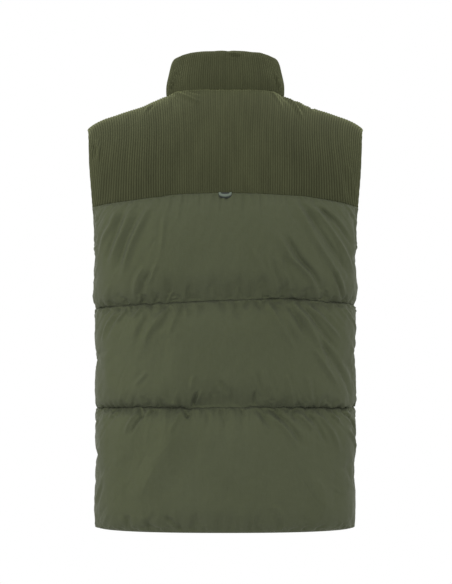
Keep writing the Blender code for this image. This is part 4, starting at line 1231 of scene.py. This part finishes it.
def panel_piece(panel, moved, name, sizes, seed):
    """A finished quilted panel, with its folds, gathers and overhang."""
    cuts = PANEL_REFINE[panel.face]
    outer, inner, out, around, bottom, top = panel.skins(cuts, 1.0 if moved is None else START_SHARE)
    if moved is not None:
        rows = refine_line(moved, cuts[0])
        outer = outer + refine_line(rows.transpose(1, 0, 2), cuts[1]).transpose(1, 0, 2)
    heights = panel.low + bottom
    edge_sides = np.minimum(*(distance_to_line(outer, edge_line(outer[:, column])) for column in (0, -1)))
    near_edge = np.minimum(np.minimum(bottom, top), edge_sides)
    lift = smooth(near_edge, 0.0, 0.004)
    rise = FOLD_GAIN * fold_rise(around, heights, FOLDS[panel.name]) * smooth(near_edge, 0.0, 0.0045)
    lost, *side_span = SIDE_FLATTENING
    rise *= 1 - lost * smooth(np.abs(around), *side_span)
    creases = fine_creases(around, heights, seed + 300, CREASE_COUNT, (panel.low, panel.high))
    rise += CREASE_GAIN * creases * lift

    below = panel.gathers(panel.seam_below)
    size, longest = GATHERS_BELOW
    rise += sizes.gather * size * gather_rise(around, bottom, seed, below, longest)
    rise += seam_pleats(around, bottom, seed + 400, below, PLEATS_BELOW)
    above, (size, longest) = YOKE_GATHERS, GATHERS_UNDER_YOKE
    if panel.seam_above:
        above, (size, longest) = panel.gathers(panel.seam_above), GATHERS_ABOVE
        rise += seam_pleats(-around, top, seed + 450, above, PLEATS_ABOVE)
    rise += sizes.gather * size * gather_rise(around, top, seed + 50, above, longest)
    for height, lump, more, stretch in NYLON_LUMPS:
        rise += height * soft_noise(around, heights, lump, seed + more, stretch) * lift
    outer = outer + out * rise[..., None]

    strength = table_value(panel.overhang(), around)
    if panel.seam_below != "hem":
        # Where the seam lies flat, the padding rises from it slowly.
        plain = edge_fullness(bottom, *PADDING[panel.kind][2:4])
        slow = edge_fullness(bottom, *FLAT_SEAM_PADDING) / np.maximum(plain, 1e-3)
        above_seam = ((outer - inner) * out).sum(axis=2) - 2 * SEAM_HALF
        drop = above_seam * (1 - np.clip(slow, 0, 1)) * np.clip(FLAT_STRENGTH - strength, 0, 1)
        outer = outer - out * drop[..., None]
    reach = bottom / OVERHANG_PEAK
    sag = sizes.overhang * strength * reach * np.exp(1 - reach)
    outer[..., 2] -= sag * smooth(edge_sides, 0.0, 0.02)
    is_open = np.zeros(around.shape, dtype=bool)
    free = heights[:, 0] > UNDERARM_Z + 0.003
    if panel.side >= 0:
        is_open[:, -1] = free
    if panel.side <= 0:
        is_open[:, 0] = free
    if panel.seam_below == "hem":
        is_open[0, 1:-1] = True
    cloth = np.stack([around, heights + 0 * around], axis=-1)
    return build_wall(name, outer, inner, cloth, is_open, (3, 3))


# ---- Shader groups -----------------------------------------------------------------------------


class Tree:
    """Makes and links nodes in a node tree."""

    def __init__(self, tree):
        self.tree = tree

    def put(self, socket, value):
        """Links an input to another node's output, or sets it to a value."""
        if isinstance(value, bpy.types.NodeSocket):
            self.tree.links.new(value, socket)
        else:
            socket.default_value = value

    def add(self, kind, values=None, **settings):
        node = self.tree.nodes.new(kind)
        for key, value in settings.items():
            setattr(node, key, value)
        for key, value in (values or {}).items():
            self.put(node.inputs[key], value)
        return node

    def first(self, kind, values=None, **settings):
        """The first output of a new node."""
        return self.add(kind, values, **settings).outputs[0]

    def math(self, operation, *values):
        return self.first("ShaderNodeMath", dict(enumerate(values)), operation=operation)

    def remap(self, value, *span):
        """A value moved from one span to another: low and high, then the new low and high."""
        return self.first("ShaderNodeMapRange", dict(enumerate((value, *span))))

    def noise(self, vector, scales, detail, roughness):
        """Noise with as many lumps to the metre, along each direction, as scales says."""
        place = self.first("ShaderNodeVectorMath", {0: vector, 1: scales}, operation="MULTIPLY")
        return self.first(
            "ShaderNodeTexNoise", {"Vector": place, "Scale": 1.0, "Detail": detail, "Roughness": roughness}
        )

    def mix_colour(self, factor, first, second):
        node = self.add("ShaderNodeMix", data_type="RGBA")
        inputs = {socket.identifier: socket for socket in node.inputs}
        for key, value in (("Factor_Float", factor), ("A_Color", first), ("B_Color", second)):
            self.put(inputs[key], value)
        return next(socket for socket in node.outputs if socket.identifier == "Result_Color")

    def bump(self, shader, height, strength, distance):
        """Gives a shader fine relief."""
        values = {"Height": height, "Strength": strength, "Distance": distance}
        self.put(shader.inputs["Normal"], self.first("ShaderNodeBump", values))

    def group(self, name, build, vector, **amounts):
        """The outputs of a node group, which is built when it is first used."""
        sockets = {"Vector": vector, **{key.replace("_", " "): value for key, value in amounts.items()}}
        group = bpy.data.node_groups.get(name) or new_group(name, build, list(sockets)[1:])
        return self.add("ShaderNodeGroup", sockets, node_tree=group).outputs


def new_group(name, build, amounts):
    """A node group on a vector and named amounts."""
    group = bpy.data.node_groups.new(name, "ShaderNodeTree")
    group.interface.new_socket(name="Vector", in_out="INPUT", socket_type="NodeSocketVector")
    for key in amounts:
        group.interface.new_socket(name=key, in_out="INPUT", socket_type="NodeSocketFloat")
    tree = Tree(group)
    results = build(tree, tree.add("NodeGroupInput").outputs)
    for key in results:
        group.interface.new_socket(name=key, in_out="OUTPUT", socket_type="NodeSocketFloat")
    tree.add("NodeGroupOutput", results)
    return group


def build_weave(tree, inputs):
    """Plain weave: crossing threads, slubs that run along them, and the cloth's uneven tone."""
    vector = inputs["Vector"]
    turns = tree.math("MULTIPLY", inputs["Threads per metre"], 2 * math.pi)
    parts = tree.add("ShaderNodeSeparateXYZ", {0: vector}).outputs
    warp = tree.math("SINE", tree.math("MULTIPLY", parts[0], turns))
    weft = tree.math("SINE", tree.math("MULTIPLY", parts[1], turns))
    weave = tree.math("MULTIPLY_ADD", tree.math("MULTIPLY", warp, weft), 0.5, 0.5)
    slub_across = tree.noise(vector, (45, 900, 1), 3.0, 0.6)
    slub_up = tree.noise(vector, (700, 60, 1), 3.0, 0.6)
    slubs = tree.math("MULTIPLY_ADD", slub_up, 0.45, slub_across)
    broad = tree.noise(vector, (9, 6, 1), 3.0, 0.55)
    mottle = tree.noise(vector, (210, 120, 1), 4.0, 0.6)
    tone = tree.math("MULTIPLY_ADD", mottle, 0.7, tree.math("ADD", broad, -0.35))
    return {
        "Height": tree.math("MULTIPLY_ADD", slubs, 0.6, weave),
        "Slubs": tree.math("SUBTRACT", slubs, 0.72),
        "Tone": tree.math("SUBTRACT", tone, 0.5),
    }


def build_pile(tree, inputs):
    """Corduroy pile: painted shade in the grooves between the wales, weaker near the centre line, tufts along
    them, and brushed patches.
    """
    vector = inputs["Vector"]
    parts = tree.add("ShaderNodeSeparateXYZ", {0: vector}).outputs
    phase = tree.math("DIVIDE", parts[0], inputs["Wale pitch"])
    crown = tree.math("ABSOLUTE", tree.math("SINE", tree.math("MULTIPLY", phase, math.pi)))
    tufts = tree.noise(vector, (2600, 1500, 1), 2.0, 0.7)
    fibres = tree.noise(vector, (900, 260, 1), 3.0, 0.6)
    brushed = tree.noise(vector, (26, 11, 1), 4.0, 0.6)
    wales = tree.noise(vector, (190, 9, 1), 2.0, 0.5)
    pile = tree.math("MULTIPLY_ADD", tufts, 0.6, fibres)
    # How strongly the grooves are darkened as painted shade: about a third near the centre line, in full from
    # 11 cm out.
    aside = tree.remap(tree.math("ABSOLUTE", parts[0]), 0.02, 0.11, 0.35, 1.0)
    patches = tree.math("SUBTRACT", brushed, 0.5)
    return {
        # Painted shade in the grooves between the wales.
        "Groove": tree.math("MULTIPLY", tree.remap(crown, 0.0, 0.8, 1.0, 0.0), aside),
        "Pile": tree.math("SUBTRACT", pile, 0.8),
        "Uneven": tree.math("MULTIPLY_ADD", tree.math("SUBTRACT", wales, 0.5), 0.8, patches),
        "Height": pile,
    }


def build_wear(tree, inputs):
    """Fine scratches and smudges on metal and rubber."""
    fine = tree.noise(inputs["Vector"], (900, 900, 260), 3.0, 0.6)
    broad = tree.noise(inputs["Vector"], (130, 130, 130), 3.0, 0.5)
    both = tree.math("MULTIPLY_ADD", fine, 0.5, tree.math("MULTIPLY", broad, 0.5))
    return {"Wear": tree.remap(both, 0.35, 0.65, 0.0, 1.0), "Height": fine}


def new_material(name, roughness, values):
    """A material with a Principled shader, whose even values are set on its own sockets."""
    material = bpy.data.materials.new(name)
    material.use_nodes = True
    shader = material.node_tree.nodes["Principled BSDF"]
    for key, value in {"Roughness": roughness, **values}.items():
        shader.inputs[key].default_value = value
    return material, Tree(material.node_tree), shader


def rgba(values, gain=1.0):
    return (*(min(1.0, v * gain) for v in values), 1.0)


def toned(tree, base, dark_gain, light_gain, mask):
    """A colour that moves between darker and lighter kinds of itself with a mask around 0."""
    return tree.mix_colour(tree.math("ADD", mask, 0.5), rgba(base, dark_gain), rgba(base, light_gain))


def cloth_place(tree):
    return tree.add("ShaderNodeUVMap", uv_map="cloth").outputs["UV"]


def object_place(tree):
    return tree.add("ShaderNodeTexCoord").outputs["Object"]


def woven_material(name, base, threads, roughness, slub, bump, place=cloth_place, gloss=(0.34, (1, 1, 1))):
    """A woven cloth: nylon shell, tape or thread. The gloss is its strength and its tint."""
    values = {"Specular IOR Level": gloss[0], "Specular Tint": rgba(gloss[1])}
    material, tree, shader = new_material(name, roughness, values)
    weave = tree.group("woven_threads", build_weave, place(tree), Threads_per_metre=threads)
    mask = tree.math("MULTIPLY_ADD", weave["Slubs"], slub, weave["Tone"])
    tree.put(shader.inputs["Base Color"], toned(tree, base, 0.86, 1.14, mask))
    rough = tree.remap(weave["Slubs"], -0.4, 0.4, roughness - 0.06, roughness + 0.06)
    tree.put(shader.inputs["Roughness"], rough)
    tree.bump(shader, weave["Height"], bump, 0.00012)
    return material


def corduroy_material(name, base, pitch):
    """Cotton corduroy: painted shade in the grooves, a pile of uneven tone, and a soft nap."""
    nap = {"Sheen Weight": 0.8, "Sheen Roughness": 0.30, "Sheen Tint": rgba(base, 8.0)}
    material, tree, shader = new_material(name, 0.92, {"Specular IOR Level": 0.15, **nap})
    pile = tree.group("corduroy_pile", build_pile, cloth_place(tree), Wale_pitch=pitch)
    tone = toned(tree, base, 0.72, 1.30, tree.math("MULTIPLY_ADD", pile["Pile"], 1.1, pile["Uneven"]))
    # Painted shade in the grooves: the colour is darkened there towards 0.4 of the base.
    groove_shaded = tree.mix_colour(tree.math("MULTIPLY", pile["Groove"], 0.85), tone, rgba(base, 0.40))
    tree.put(shader.inputs["Base Color"], groove_shaded)
    tree.bump(shader, pile["Height"], 0.5, 0.0003)
    return material


def fitting_material(name, base, roughness, metallic, worn_gain):
    """Metal or rubber with fine wear."""
    material, tree, shader = new_material(name, roughness, {"Metallic": metallic})
    wear = tree.group("surface_wear", build_wear, object_place(tree))
    tree.put(shader.inputs["Base Color"], tree.mix_colour(wear["Wear"], rgba(base), rgba(base, worn_gain)))
    rough = tree.remap(wear["Wear"], 0.0, 1.0, roughness - 0.08, roughness + 0.10)
    tree.put(shader.inputs["Roughness"], rough)
    tree.bump(shader, wear["Height"], 0.25, 0.00005)
    return material


@functools.cache
def finishes():
    """All the materials, by what they are for."""
    colours, sizes = bpy.context.scene.vest_colours, bpy.context.scene.vest_sizes
    shell_gloss = (0.50, (0.80, 1.0, 0.15))
    return {
        "nylon": woven_material("nylon_shell", colours.nylon, 2400.0, 0.66, 0.9, 0.35, gloss=shell_gloss),
        "corduroy": corduroy_material("corduroy_cloth", colours.corduroy, sizes.wale_pitch),
        "tape": woven_material("zip_tape_cloth", colours.tape, 1100.0, 0.8, 0.6, 0.8),
        "teeth": woven_material("zip_teeth", colours.tape, 900.0, 0.45, 0.3, 0.2, object_place),
        "thread": woven_material("sewing_thread", colours.thread, 2600.0, 0.7, 0.5, 0.6, object_place),
        "metal": fitting_material("gunmetal", colours.metal, 0.36, 1.0, 1.5),
        "rim": fitting_material("tab_rim_rubber", colours.rim, 0.55, 0.0, 1.12),
        # The field's dark colour also serves as painted shadow on the tab's foot.
        "field": fitting_material("tab_field_rubber", colours.field, 0.6, 0.0, 1.15),
    }


# ---- Geometry Nodes ----------------------------------------------------------------------------

REPEAT_AMOUNTS = ("Pitch", "Length", "Width", "Depth")


def repeat_along_path(name, shape):
    """A tree that sets a shape along its path at a pitch: stitches, or the zip's teeth.

    The path is the input mesh, a chain of edges whose points carry the outward direction.
    """
    tree = bpy.data.node_groups.new(name, "GeometryNodeTree")
    kinds = {"Geometry": "Geometry", **dict.fromkeys(REPEAT_AMOUNTS, "Float"), "Material": "Material"}
    for key, kind in kinds.items():
        tree.interface.new_socket(name=key, in_out="INPUT", socket_type=f"NodeSocket{kind}")
    tree.interface.new_socket(name="Geometry", in_out="OUTPUT", socket_type="NodeSocketGeometry")
    n = Tree(tree)
    source = n.add("NodeGroupInput").outputs
    curve = n.first("GeometryNodeMeshToCurve", {"Mesh": source["Geometry"]})
    spaced = n.first("GeometryNodeResampleCurve", {"Curve": curve, "Length": source["Pitch"]}, mode="LENGTH")
    out = n.first("GeometryNodeInputNamedAttribute", {"Name": "out"}, data_type="FLOAT_VECTOR")
    align = "FunctionNodeAlignRotationToVector"
    along = n.first(align, {"Vector": n.first("GeometryNodeInputTangent")}, axis="X")
    turned = n.first(align, {"Rotation": along, "Vector": out}, axis="Z", pivot_axis="X")
    size = n.first("ShaderNodeCombineXYZ", {0: source["Length"], 1: source["Width"], 2: source["Depth"]})
    if shape == "thread":
        unit_shape = n.first("GeometryNodeMeshIcoSphere", {"Radius": 0.5, "Subdivisions": 1})
    else:
        block = n.first("GeometryNodeMeshCube", {"Size": (0.8, 1.0, 0.8)})
        unit_shape = n.first("GeometryNodeSubdivisionSurface", {"Mesh": block, "Level": 1})
    values = {"Points": spaced, "Instance": unit_shape, "Rotation": turned, "Scale": size}
    real = n.first("GeometryNodeRealizeInstances", {0: n.first("GeometryNodeInstanceOnPoints", values)})
    smoothed = n.first("GeometryNodeSetShadeSmooth", {"Geometry": real})
    painted = n.first("GeometryNodeSetMaterial", {"Geometry": smoothed, "Material": source["Material"]})
    n.add("NodeGroupOutput", {0: painted})
    return tree


def repeated_piece(name, paths, tree, amounts, material):
    """A plain mesh of the shapes that a tree sets along paths of points and outward directions."""
    vertices = np.concatenate([points for points, _ in paths])
    outs = np.concatenate([out for _, out in paths])
    starts = np.cumsum([0] + [len(points) for points, _ in paths])
    edges = [(i, i + 1) for i in range(len(vertices) - 1) if i + 1 not in starts]
    path = bpy.data.meshes.new(f"{name}_path")
    path.from_pydata(vertices, edges, [])
    outward = path.attributes.new("out", "FLOAT_VECTOR", "POINT")
    outward.data.foreach_set("vector", outs.astype(np.float32).ravel())
    carrier = new_object(f"{name}_carrier", path)
    modifier = carrier.modifiers.new("repeat", "NODES")
    modifier.node_group = tree
    values = {**dict(zip(REPEAT_AMOUNTS, amounts, strict=True)), "Material": material}
    for item in tree.interface.items_tree:
        if item.in_out == "INPUT" and item.name in values:
            modifier[item.identifier] = values[item.name]
    graph = bpy.context.evaluated_depsgraph_get()
    mesh = bpy.data.meshes.new_from_object(carrier.evaluated_get(graph))
    mesh.name = name
    piece = new_object(name, mesh)
    bpy.data.objects.remove(carrier)
    finish_piece(piece)


# ---- Zip, tab and stitches ---------------------------------------------------------------------

# Distances of the tape's columns from the centre front, and of the same columns beside the retainer.
TAPE_COLUMNS = (0.0004, 0.0030, 0.0055, 0.0080, 0.0118, 0.0156)
BESIDE_BOX = (0.0065, 0.0080, 0.0095, 0.0112, 0.0134, 0.0156)
TAPE_HALF_DEPTH = 0.00045
TAPE_RIM = 0.0003
TOOTH_REACH = 0.0011
TOOTH_SIZE = (0.00105, 0.0031, 0.0025)
ZIP_POINTS = (110, 40, 14)  # points of a zip row up the front, over the yoke, and up the collar
BESIDE_POINTS = 6
STITCH_SHARE = 0.82  # share of the stitch pitch that is thread
STITCH_LIFT = 0.0001
SEAM_POINTS = 500
SEAM_END = 0.995  # share of the way to the side seam that the stitches reach
TAB_DROP = 0.0088  # how far down the cloth the tab's slope is taken from
TAB_GAPS = (0.0004, 0.0003)  # how far the tab starts below the yoke's edge and above the cloth
TAB_POINTS = 33
# The tab's rings: half width, drop and height above the cloth.
TAB_RINGS = (
    (0.0105, 0.0094, 0.0000),
    (0.0105, 0.0094, 0.0004),
    (0.0100, 0.0069, 0.0006),
    (0.0099, 0.0067, 0.0018),
    (0.0095, 0.0063, 0.0023),
    (0.0073, 0.0036, 0.0023),
    (0.0069, 0.0031, 0.0020),
    (0.0067, 0.0029, 0.0011),
)
# Strips next to the cloth that take the field's dark colour as painted shadow beneath the tab.
TAB_FOOT_SHADOW_STRIPS = 2


def front_rows(x, heights):
    """Points and outward directions up the front at x, at the heights given."""
    points, out = [], []
    for height in heights:
        share = np.array([math.copysign(share_at_x(abs(x), height, "front"), x)])
        points.append(body_row(share, height, "front"))
        out.append(body_row_out(share, height, "front"))
    return points, out


def zip_rows(x):
    """Points and outward directions beside the centre front, from the retainer to the chain's end."""
    front_count, yoke_count, collar_count = ZIP_POINTS
    points, out = front_rows(x, np.linspace(HEM_Z + BOX_HEIGHT, YOKE_Z["front"], front_count))
    base_x = np.full(1, x)
    end = last_turn(base_x, "front")
    for row in np.linspace(0, 1, yoke_count)[1:-1]:
        points.append(arch(base_x, row * end, "front"))
        out.append(arch_out(base_x, row * end, "front"))
    base = arch(base_x, end, "front")
    for row in np.linspace(0, ZIP_TOP, collar_count):
        points.append(collar_points(base, np.full(1, row)))
        out.append(collar_out(base, np.full(1, row)))
    return np.concatenate(points), np.concatenate(out)


def tape_piece(name, side):
    """One tape of the zip, from the teeth to inside the seam of the front edge."""
    lines = []
    beside_heights = np.linspace(HEM_Z + 0.0006, HEM_Z + BOX_HEIGHT - 0.0004, BESIDE_POINTS)
    for x, beside in list(zip(TAPE_COLUMNS, BESIDE_BOX, strict=True))[::side]:
        feet = front_rows(side * beside, beside_heights)
        chain = zip_rows(side * x)
        lines.append([np.concatenate([*foot, line]) for foot, line in zip(feet, chain, strict=True)])
    points, out = np.array(lines).transpose(1, 2, 0, 3)
    up = run_along(points[:, 0])
    across = points[..., 0]
    cloth = np.stack([across, np.broadcast_to(up[:, None], across.shape)], axis=-1)
    is_open = np.ones(across.shape, dtype=bool)
    depth = out * TAPE_HALF_DEPTH
    piece = build_wall(name, points + depth, points - depth, cloth, is_open, (1, 1), TAPE_RIM)
    return piece, float(up[-1])


def tab_piece(name, materials):
    """The rubber tab: a raised half-oval rim around a sunken blank field, with painted shadow on its foot."""
    panel = Panel(*PANELS[0])
    outer, _, _, around, _, top = panel.skins(PANEL_REFINE["back"], 1.0)
    middle = around.shape[1] // 2
    column = outer[:, middle]
    foot = column[np.argmin(np.abs(top[:, middle] - TAB_DROP))]
    head = Vector(column[-1])
    up = Vector(column[-1] - foot).normalized()
    across = Vector((1, 0, 0))
    away = across.cross(up)
    away = -away if away.y < 0 else away
    below, above = TAB_GAPS
    turns = np.linspace(0, math.pi, TAB_POINTS)
    mesh = bmesh.new()
    rows = []
    for half, drop, lift in TAB_RINGS:
        row = []
        for turn in turns:
            aside = across * half * math.cos(turn) - up * (below + drop * math.sin(turn) ** 0.75)
            row.append(mesh.verts.new(head + aside + away * (lift + above)))
        rows.append(row)
    for k, (low, high) in enumerate(zip(rows[:-1], rows[1:], strict=True)):
        for i in range(len(turns) - 1):
            face = mesh.faces.new((low[i], low[i + 1], high[i + 1], high[i]))
            # The foot strips take the dark field material as painted shadow beneath the tab.
            face.material_index = 1 if k < TAB_FOOT_SHADOW_STRIPS else 0
    field = mesh.faces.new(rows[-1])
    field.material_index = 1
    mesh.faces.new(rows[0][::-1])
    mesh.faces.new([row[0] for row in rows] + [row[-1] for row in rows[::-1]])
    bmesh.ops.recalc_face_normals(mesh, faces=mesh.faces)
    data = bpy.data.meshes.new(name)
    mesh.to_mesh(data)
    mesh.free()
    for polygon in data.polygons:
        polygon.use_smooth = len(polygon.vertices) == 4
    finish_piece(new_object(name, data), ["seam_tab"], materials)


def seam_path(seam, face, side=0):
    """A path of points in the groove of a quilting seam."""
    height = EDGE_Z[seam]
    first = share_at_x(ZIP_HALF, height, face) * 1.04 if side else -SEAM_END
    shares = np.linspace(first, SEAM_END, SEAM_POINTS) * (side or 1)
    around = shares * quarter_ring(height, face)[0][-1]
    points, out = body_row(shares, height, face), body_row_out(shares, height, face)
    points[:, 2] += sum(seam_shift(seam, face, shares, around))
    return points + out * (SEAM_HALF + STITCH_LIFT), out


# ---- Operators ---------------------------------------------------------------------------------

VIEW_TARGET = (-0.0012, 0.10, -0.3205)
VIEW_ASPECT = 584 / 452  # height of the view, of its width
LIGHT_TARGET = (0, 0, -0.32)
FLOOR_Z = HEM_Z - 0.9
FLOOR_REACH = 6.0
FLOOR_FADE = (1.5, 5.5)  # distances over which the floor fades into the surroundings
WARM, PLAIN, GREY = (1.0, 0.985, 0.90), (1.0, 1.0, 1.0), (0.82, 0.82, 0.82)


class VEST_OT_stage(bpy.types.Operator):
    """Sets up the camera, the lights, the floor and the white surroundings"""

    bl_idname = "vest.stage"
    bl_label = "Stage"

    def execute(self, context):
        scene, sizes = context.scene, context.scene.vest_stage
        camera_data = bpy.data.cameras.new("camera")
        camera_data.sensor_fit = "VERTICAL"
        camera_data.angle = 2 * math.atan(sizes.width * VIEW_ASPECT / 2 / sizes.distance)
        camera_data.clip_end = 30
        camera = new_object("camera", camera_data)
        offset = Vector((0, math.cos(sizes.tilt), -math.sin(sizes.tilt))) * sizes.distance
        camera.location = Vector(VIEW_TARGET) + offset
        camera.rotation_euler = (-offset).to_track_quat("-Z", "Y").to_euler()
        scene.camera = camera

        for name, place, size, power, tint in (
            ("light_left", (2.1, 0.9, 0.1), 1.6, sizes.side_power, WARM),
            ("light_right", (-2.1, 0.9, 0.1), 1.6, 0.5 * sizes.side_power, WARM),
            ("light_back", (0.0, 2.8, 0.5), 2.2, sizes.back_power, PLAIN),
            ("light_top", (0.0, 0.0, 1.9), 1.6, sizes.top_power, PLAIN),
            ("light_front", (0.5, -2.4, 0.6), 2.0, sizes.back_power, PLAIN),
        ):
            data = bpy.data.lights.new(name, "AREA")
            data.shape = "SQUARE"
            data.size = size
            data.energy = power
            data.color = tint
            lamp = new_object(name, data)
            lamp.location = place
            aim = Vector(LIGHT_TARGET) - Vector(place)
            lamp.rotation_euler = aim.to_track_quat("-Z", "Y").to_euler()

        world = bpy.data.worlds.new("studio")
        world.use_nodes = True
        scene.world = world
        tree = Tree(world.node_tree)
        world.node_tree.nodes.clear()
        fill = tree.first("ShaderNodeBackground", {"Color": rgba(PLAIN), "Strength": sizes.world})
        white = tree.first("ShaderNodeBackground", {"Color": rgba(PLAIN), "Strength": 1.0})
        rays = tree.add("ShaderNodeLightPath").outputs
        seen = tree.math("MAXIMUM", rays["Is Camera Ray"], rays["Is Transmission Ray"])
        seen = tree.math("MAXIMUM", seen, rays["Is Glossy Ray"])
        mix = tree.first("ShaderNodeMixShader", {0: seen, 1: fill, 2: white})
        tree.add("ShaderNodeOutputWorld", {"Surface": mix})

        mesh = bpy.data.meshes.new("floor")
        signs = ((-1, -1), (1, -1), (1, 1), (-1, 1))
        corners = [(x * FLOOR_REACH, y * FLOOR_REACH, FLOOR_Z) for x, y in signs]
        mesh.from_pydata(corners, [], [(0, 1, 2, 3)])
        floor = new_object("floor", mesh)
        material, tree, shader = new_material("pale_floor", 0.9, {"Base Color": rgba(GREY)})
        values = {0: object_place(tree), 1: (0, 0, FLOOR_Z)}
        middle = tree.add("ShaderNodeVectorMath", values, operation="DISTANCE").outputs["Value"]
        tree.put(shader.inputs["Alpha"], tree.remap(middle, *FLOOR_FADE, 1.0, 0.0))
        mesh.materials.append(material)
        scene.view_settings.view_transform = "Standard"
        return {"FINISHED"}


class VEST_OT_corduroy(bpy.types.Operator):
    """Makes the yokes and the collar, wale by wale"""

    bl_idname = "vest.corduroy"
    bl_label = "Corduroy yoke and collar"

    def execute(self, context):
        sizes = context.scene.vest_sizes
        looks = finishes()
        materials = (looks["corduroy"],)
        for node, face, side in (
            ("back_yoke", "back", 0),
            ("front_yoke_left", "front", 1),
            ("front_yoke_right", "front", -1),
        ):
            piece = yoke_piece(face, side, f"cloth_{node}", sizes)
            finish_piece(piece, [node], materials)
        finish_piece(collar_piece("cloth_collar", sizes), ["collar"], materials)
        return {"FINISHED"}


class VEST_OT_panels(bpy.types.Operator):
    """Makes the quilted nylon panels: blown up, folded and gathered at their seams"""

    bl_idname = "vest.panels"
    bl_label = "Quilted panels"

    def execute(self, context):
        scene = context.scene
        looks = finishes()
        panels = [Panel(*row) for row in PANELS]
        moves = blow_up(panels)
        for i, (panel, moved) in enumerate(zip(panels, moves, strict=True)):
            seed = scene.vest_stage.seed + 10 * i
            piece = panel_piece(panel, moved, f"cloth_{panel.name}", scene.vest_sizes, seed)
            finish_piece(piece, [panel.name], (looks["nylon"],))
        return {"FINISHED"}


class VEST_OT_zip(bpy.types.Operator):
    """Makes the zip's tapes and teeth, and gives its metal parts their finish"""

    bl_idname = "vest.zip"
    bl_label = "Front zip"

    def execute(self, context):
        looks, sizes = finishes(), context.scene.vest_sizes
        tree = repeat_along_path("zip_teeth", "tooth")
        for word, side in (("left", 1), ("right", -1)):
            tape, long = tape_piece(f"cloth_zip_tape_{word}", side)
            finish_piece(tape, [f"zip_tape_{word}"], (looks["tape"],))
            points, out = zip_rows(side * TOOTH_REACH)
            start = 0 if side > 0 else 0.5
            run = run_along(points)
            fine = np.arange(start * sizes.tooth_pitch, run[-1], sizes.tooth_pitch)
            path = (points_at(fine, run, points), unit(points_at(fine, run, out)))
            amounts = (sizes.tooth_pitch, *TOOTH_SIZE)
            repeated_piece(f"zip_teeth_{word}", [path], tree, amounts, looks["teeth"])
        for node in ("zip_slider", "zip_pull", "zip_box"):
            for slot in bpy.data.objects[node].material_slots:
                slot.material = looks["metal"]
        return {"FINISHED"}


class VEST_OT_tab(bpy.types.Operator):
    """Makes the rubber tab under the back yoke"""

    bl_idname = "vest.tab"
    bl_label = "Tab"

    def execute(self, context):
        looks = finishes()
        tab_piece("rubber_seam_tab", (looks["rim"], looks["field"]))
        return {"FINISHED"}


class VEST_OT_stitches(bpy.types.Operator):
    """Sews the quilting seams"""

    bl_idname = "vest.stitches"
    bl_label = "Seam stitches"

    def execute(self, context):
        looks, sizes = finishes(), context.scene.vest_sizes
        tree = repeat_along_path("seam_stitches", "thread")
        pitch, width = sizes.stitch_pitch, sizes.stitch_width
        amounts = (pitch, pitch * STITCH_SHARE, width, width)
        for seam in ("seam_1", "seam_2"):
            paths = [seam_path(seam, "back"), seam_path(seam, "front", 1), seam_path(seam, "front", -1)]
            repeated_piece(f"stitches_{seam}", paths, tree, amounts, looks["thread"])
        return {"FINISHED"}


class VEST_PT_sidebar(bpy.types.Panel):
    """Lists the vest's parts and their sizes"""

    bl_label = "Padded vest"
    bl_idname = "VEST_PT_sidebar"
    bl_space_type = "VIEW_3D"
    bl_region_type = "UI"
    bl_category = "Vest"

    def draw(self, context):
        for operator in OPERATORS:
            self.layout.operator(operator.bl_idname)
        for group in (context.scene.vest_sizes, context.scene.vest_colours, context.scene.vest_stage):
            box = self.layout.box()
            for key in group.bl_rna.properties.keys():
                if key not in {"rna_type", "name"}:
                    box.prop(group, key)


OPERATORS = (VEST_OT_stage, VEST_OT_corduroy, VEST_OT_panels, VEST_OT_zip, VEST_OT_tab, VEST_OT_stitches)
GROUPS = (("vest_sizes", VestSizes), ("vest_colours", VestColours), ("vest_stage", VestStage))


def register():
    for kind in (*(group for _, group in GROUPS), *OPERATORS, VEST_PT_sidebar):
        bpy.utils.register_class(kind)
    for name, group in GROUPS:
        setattr(bpy.types.Scene, name, PointerProperty(type=group))


def unregister():
    for name, _ in GROUPS:
        delattr(bpy.types.Scene, name)
    for kind in (VEST_PT_sidebar, *OPERATORS[::-1], *(group for _, group in GROUPS[::-1])):
        bpy.utils.unregister_class(kind)


def main():
    register()
    bpy.ops.vest.stage()
    bpy.ops.vest.corduroy()
    bpy.ops.vest.panels()
    bpy.ops.vest.zip()
    bpy.ops.vest.tab()
    bpy.ops.vest.stitches()


if __name__ == "__main__":
    main()
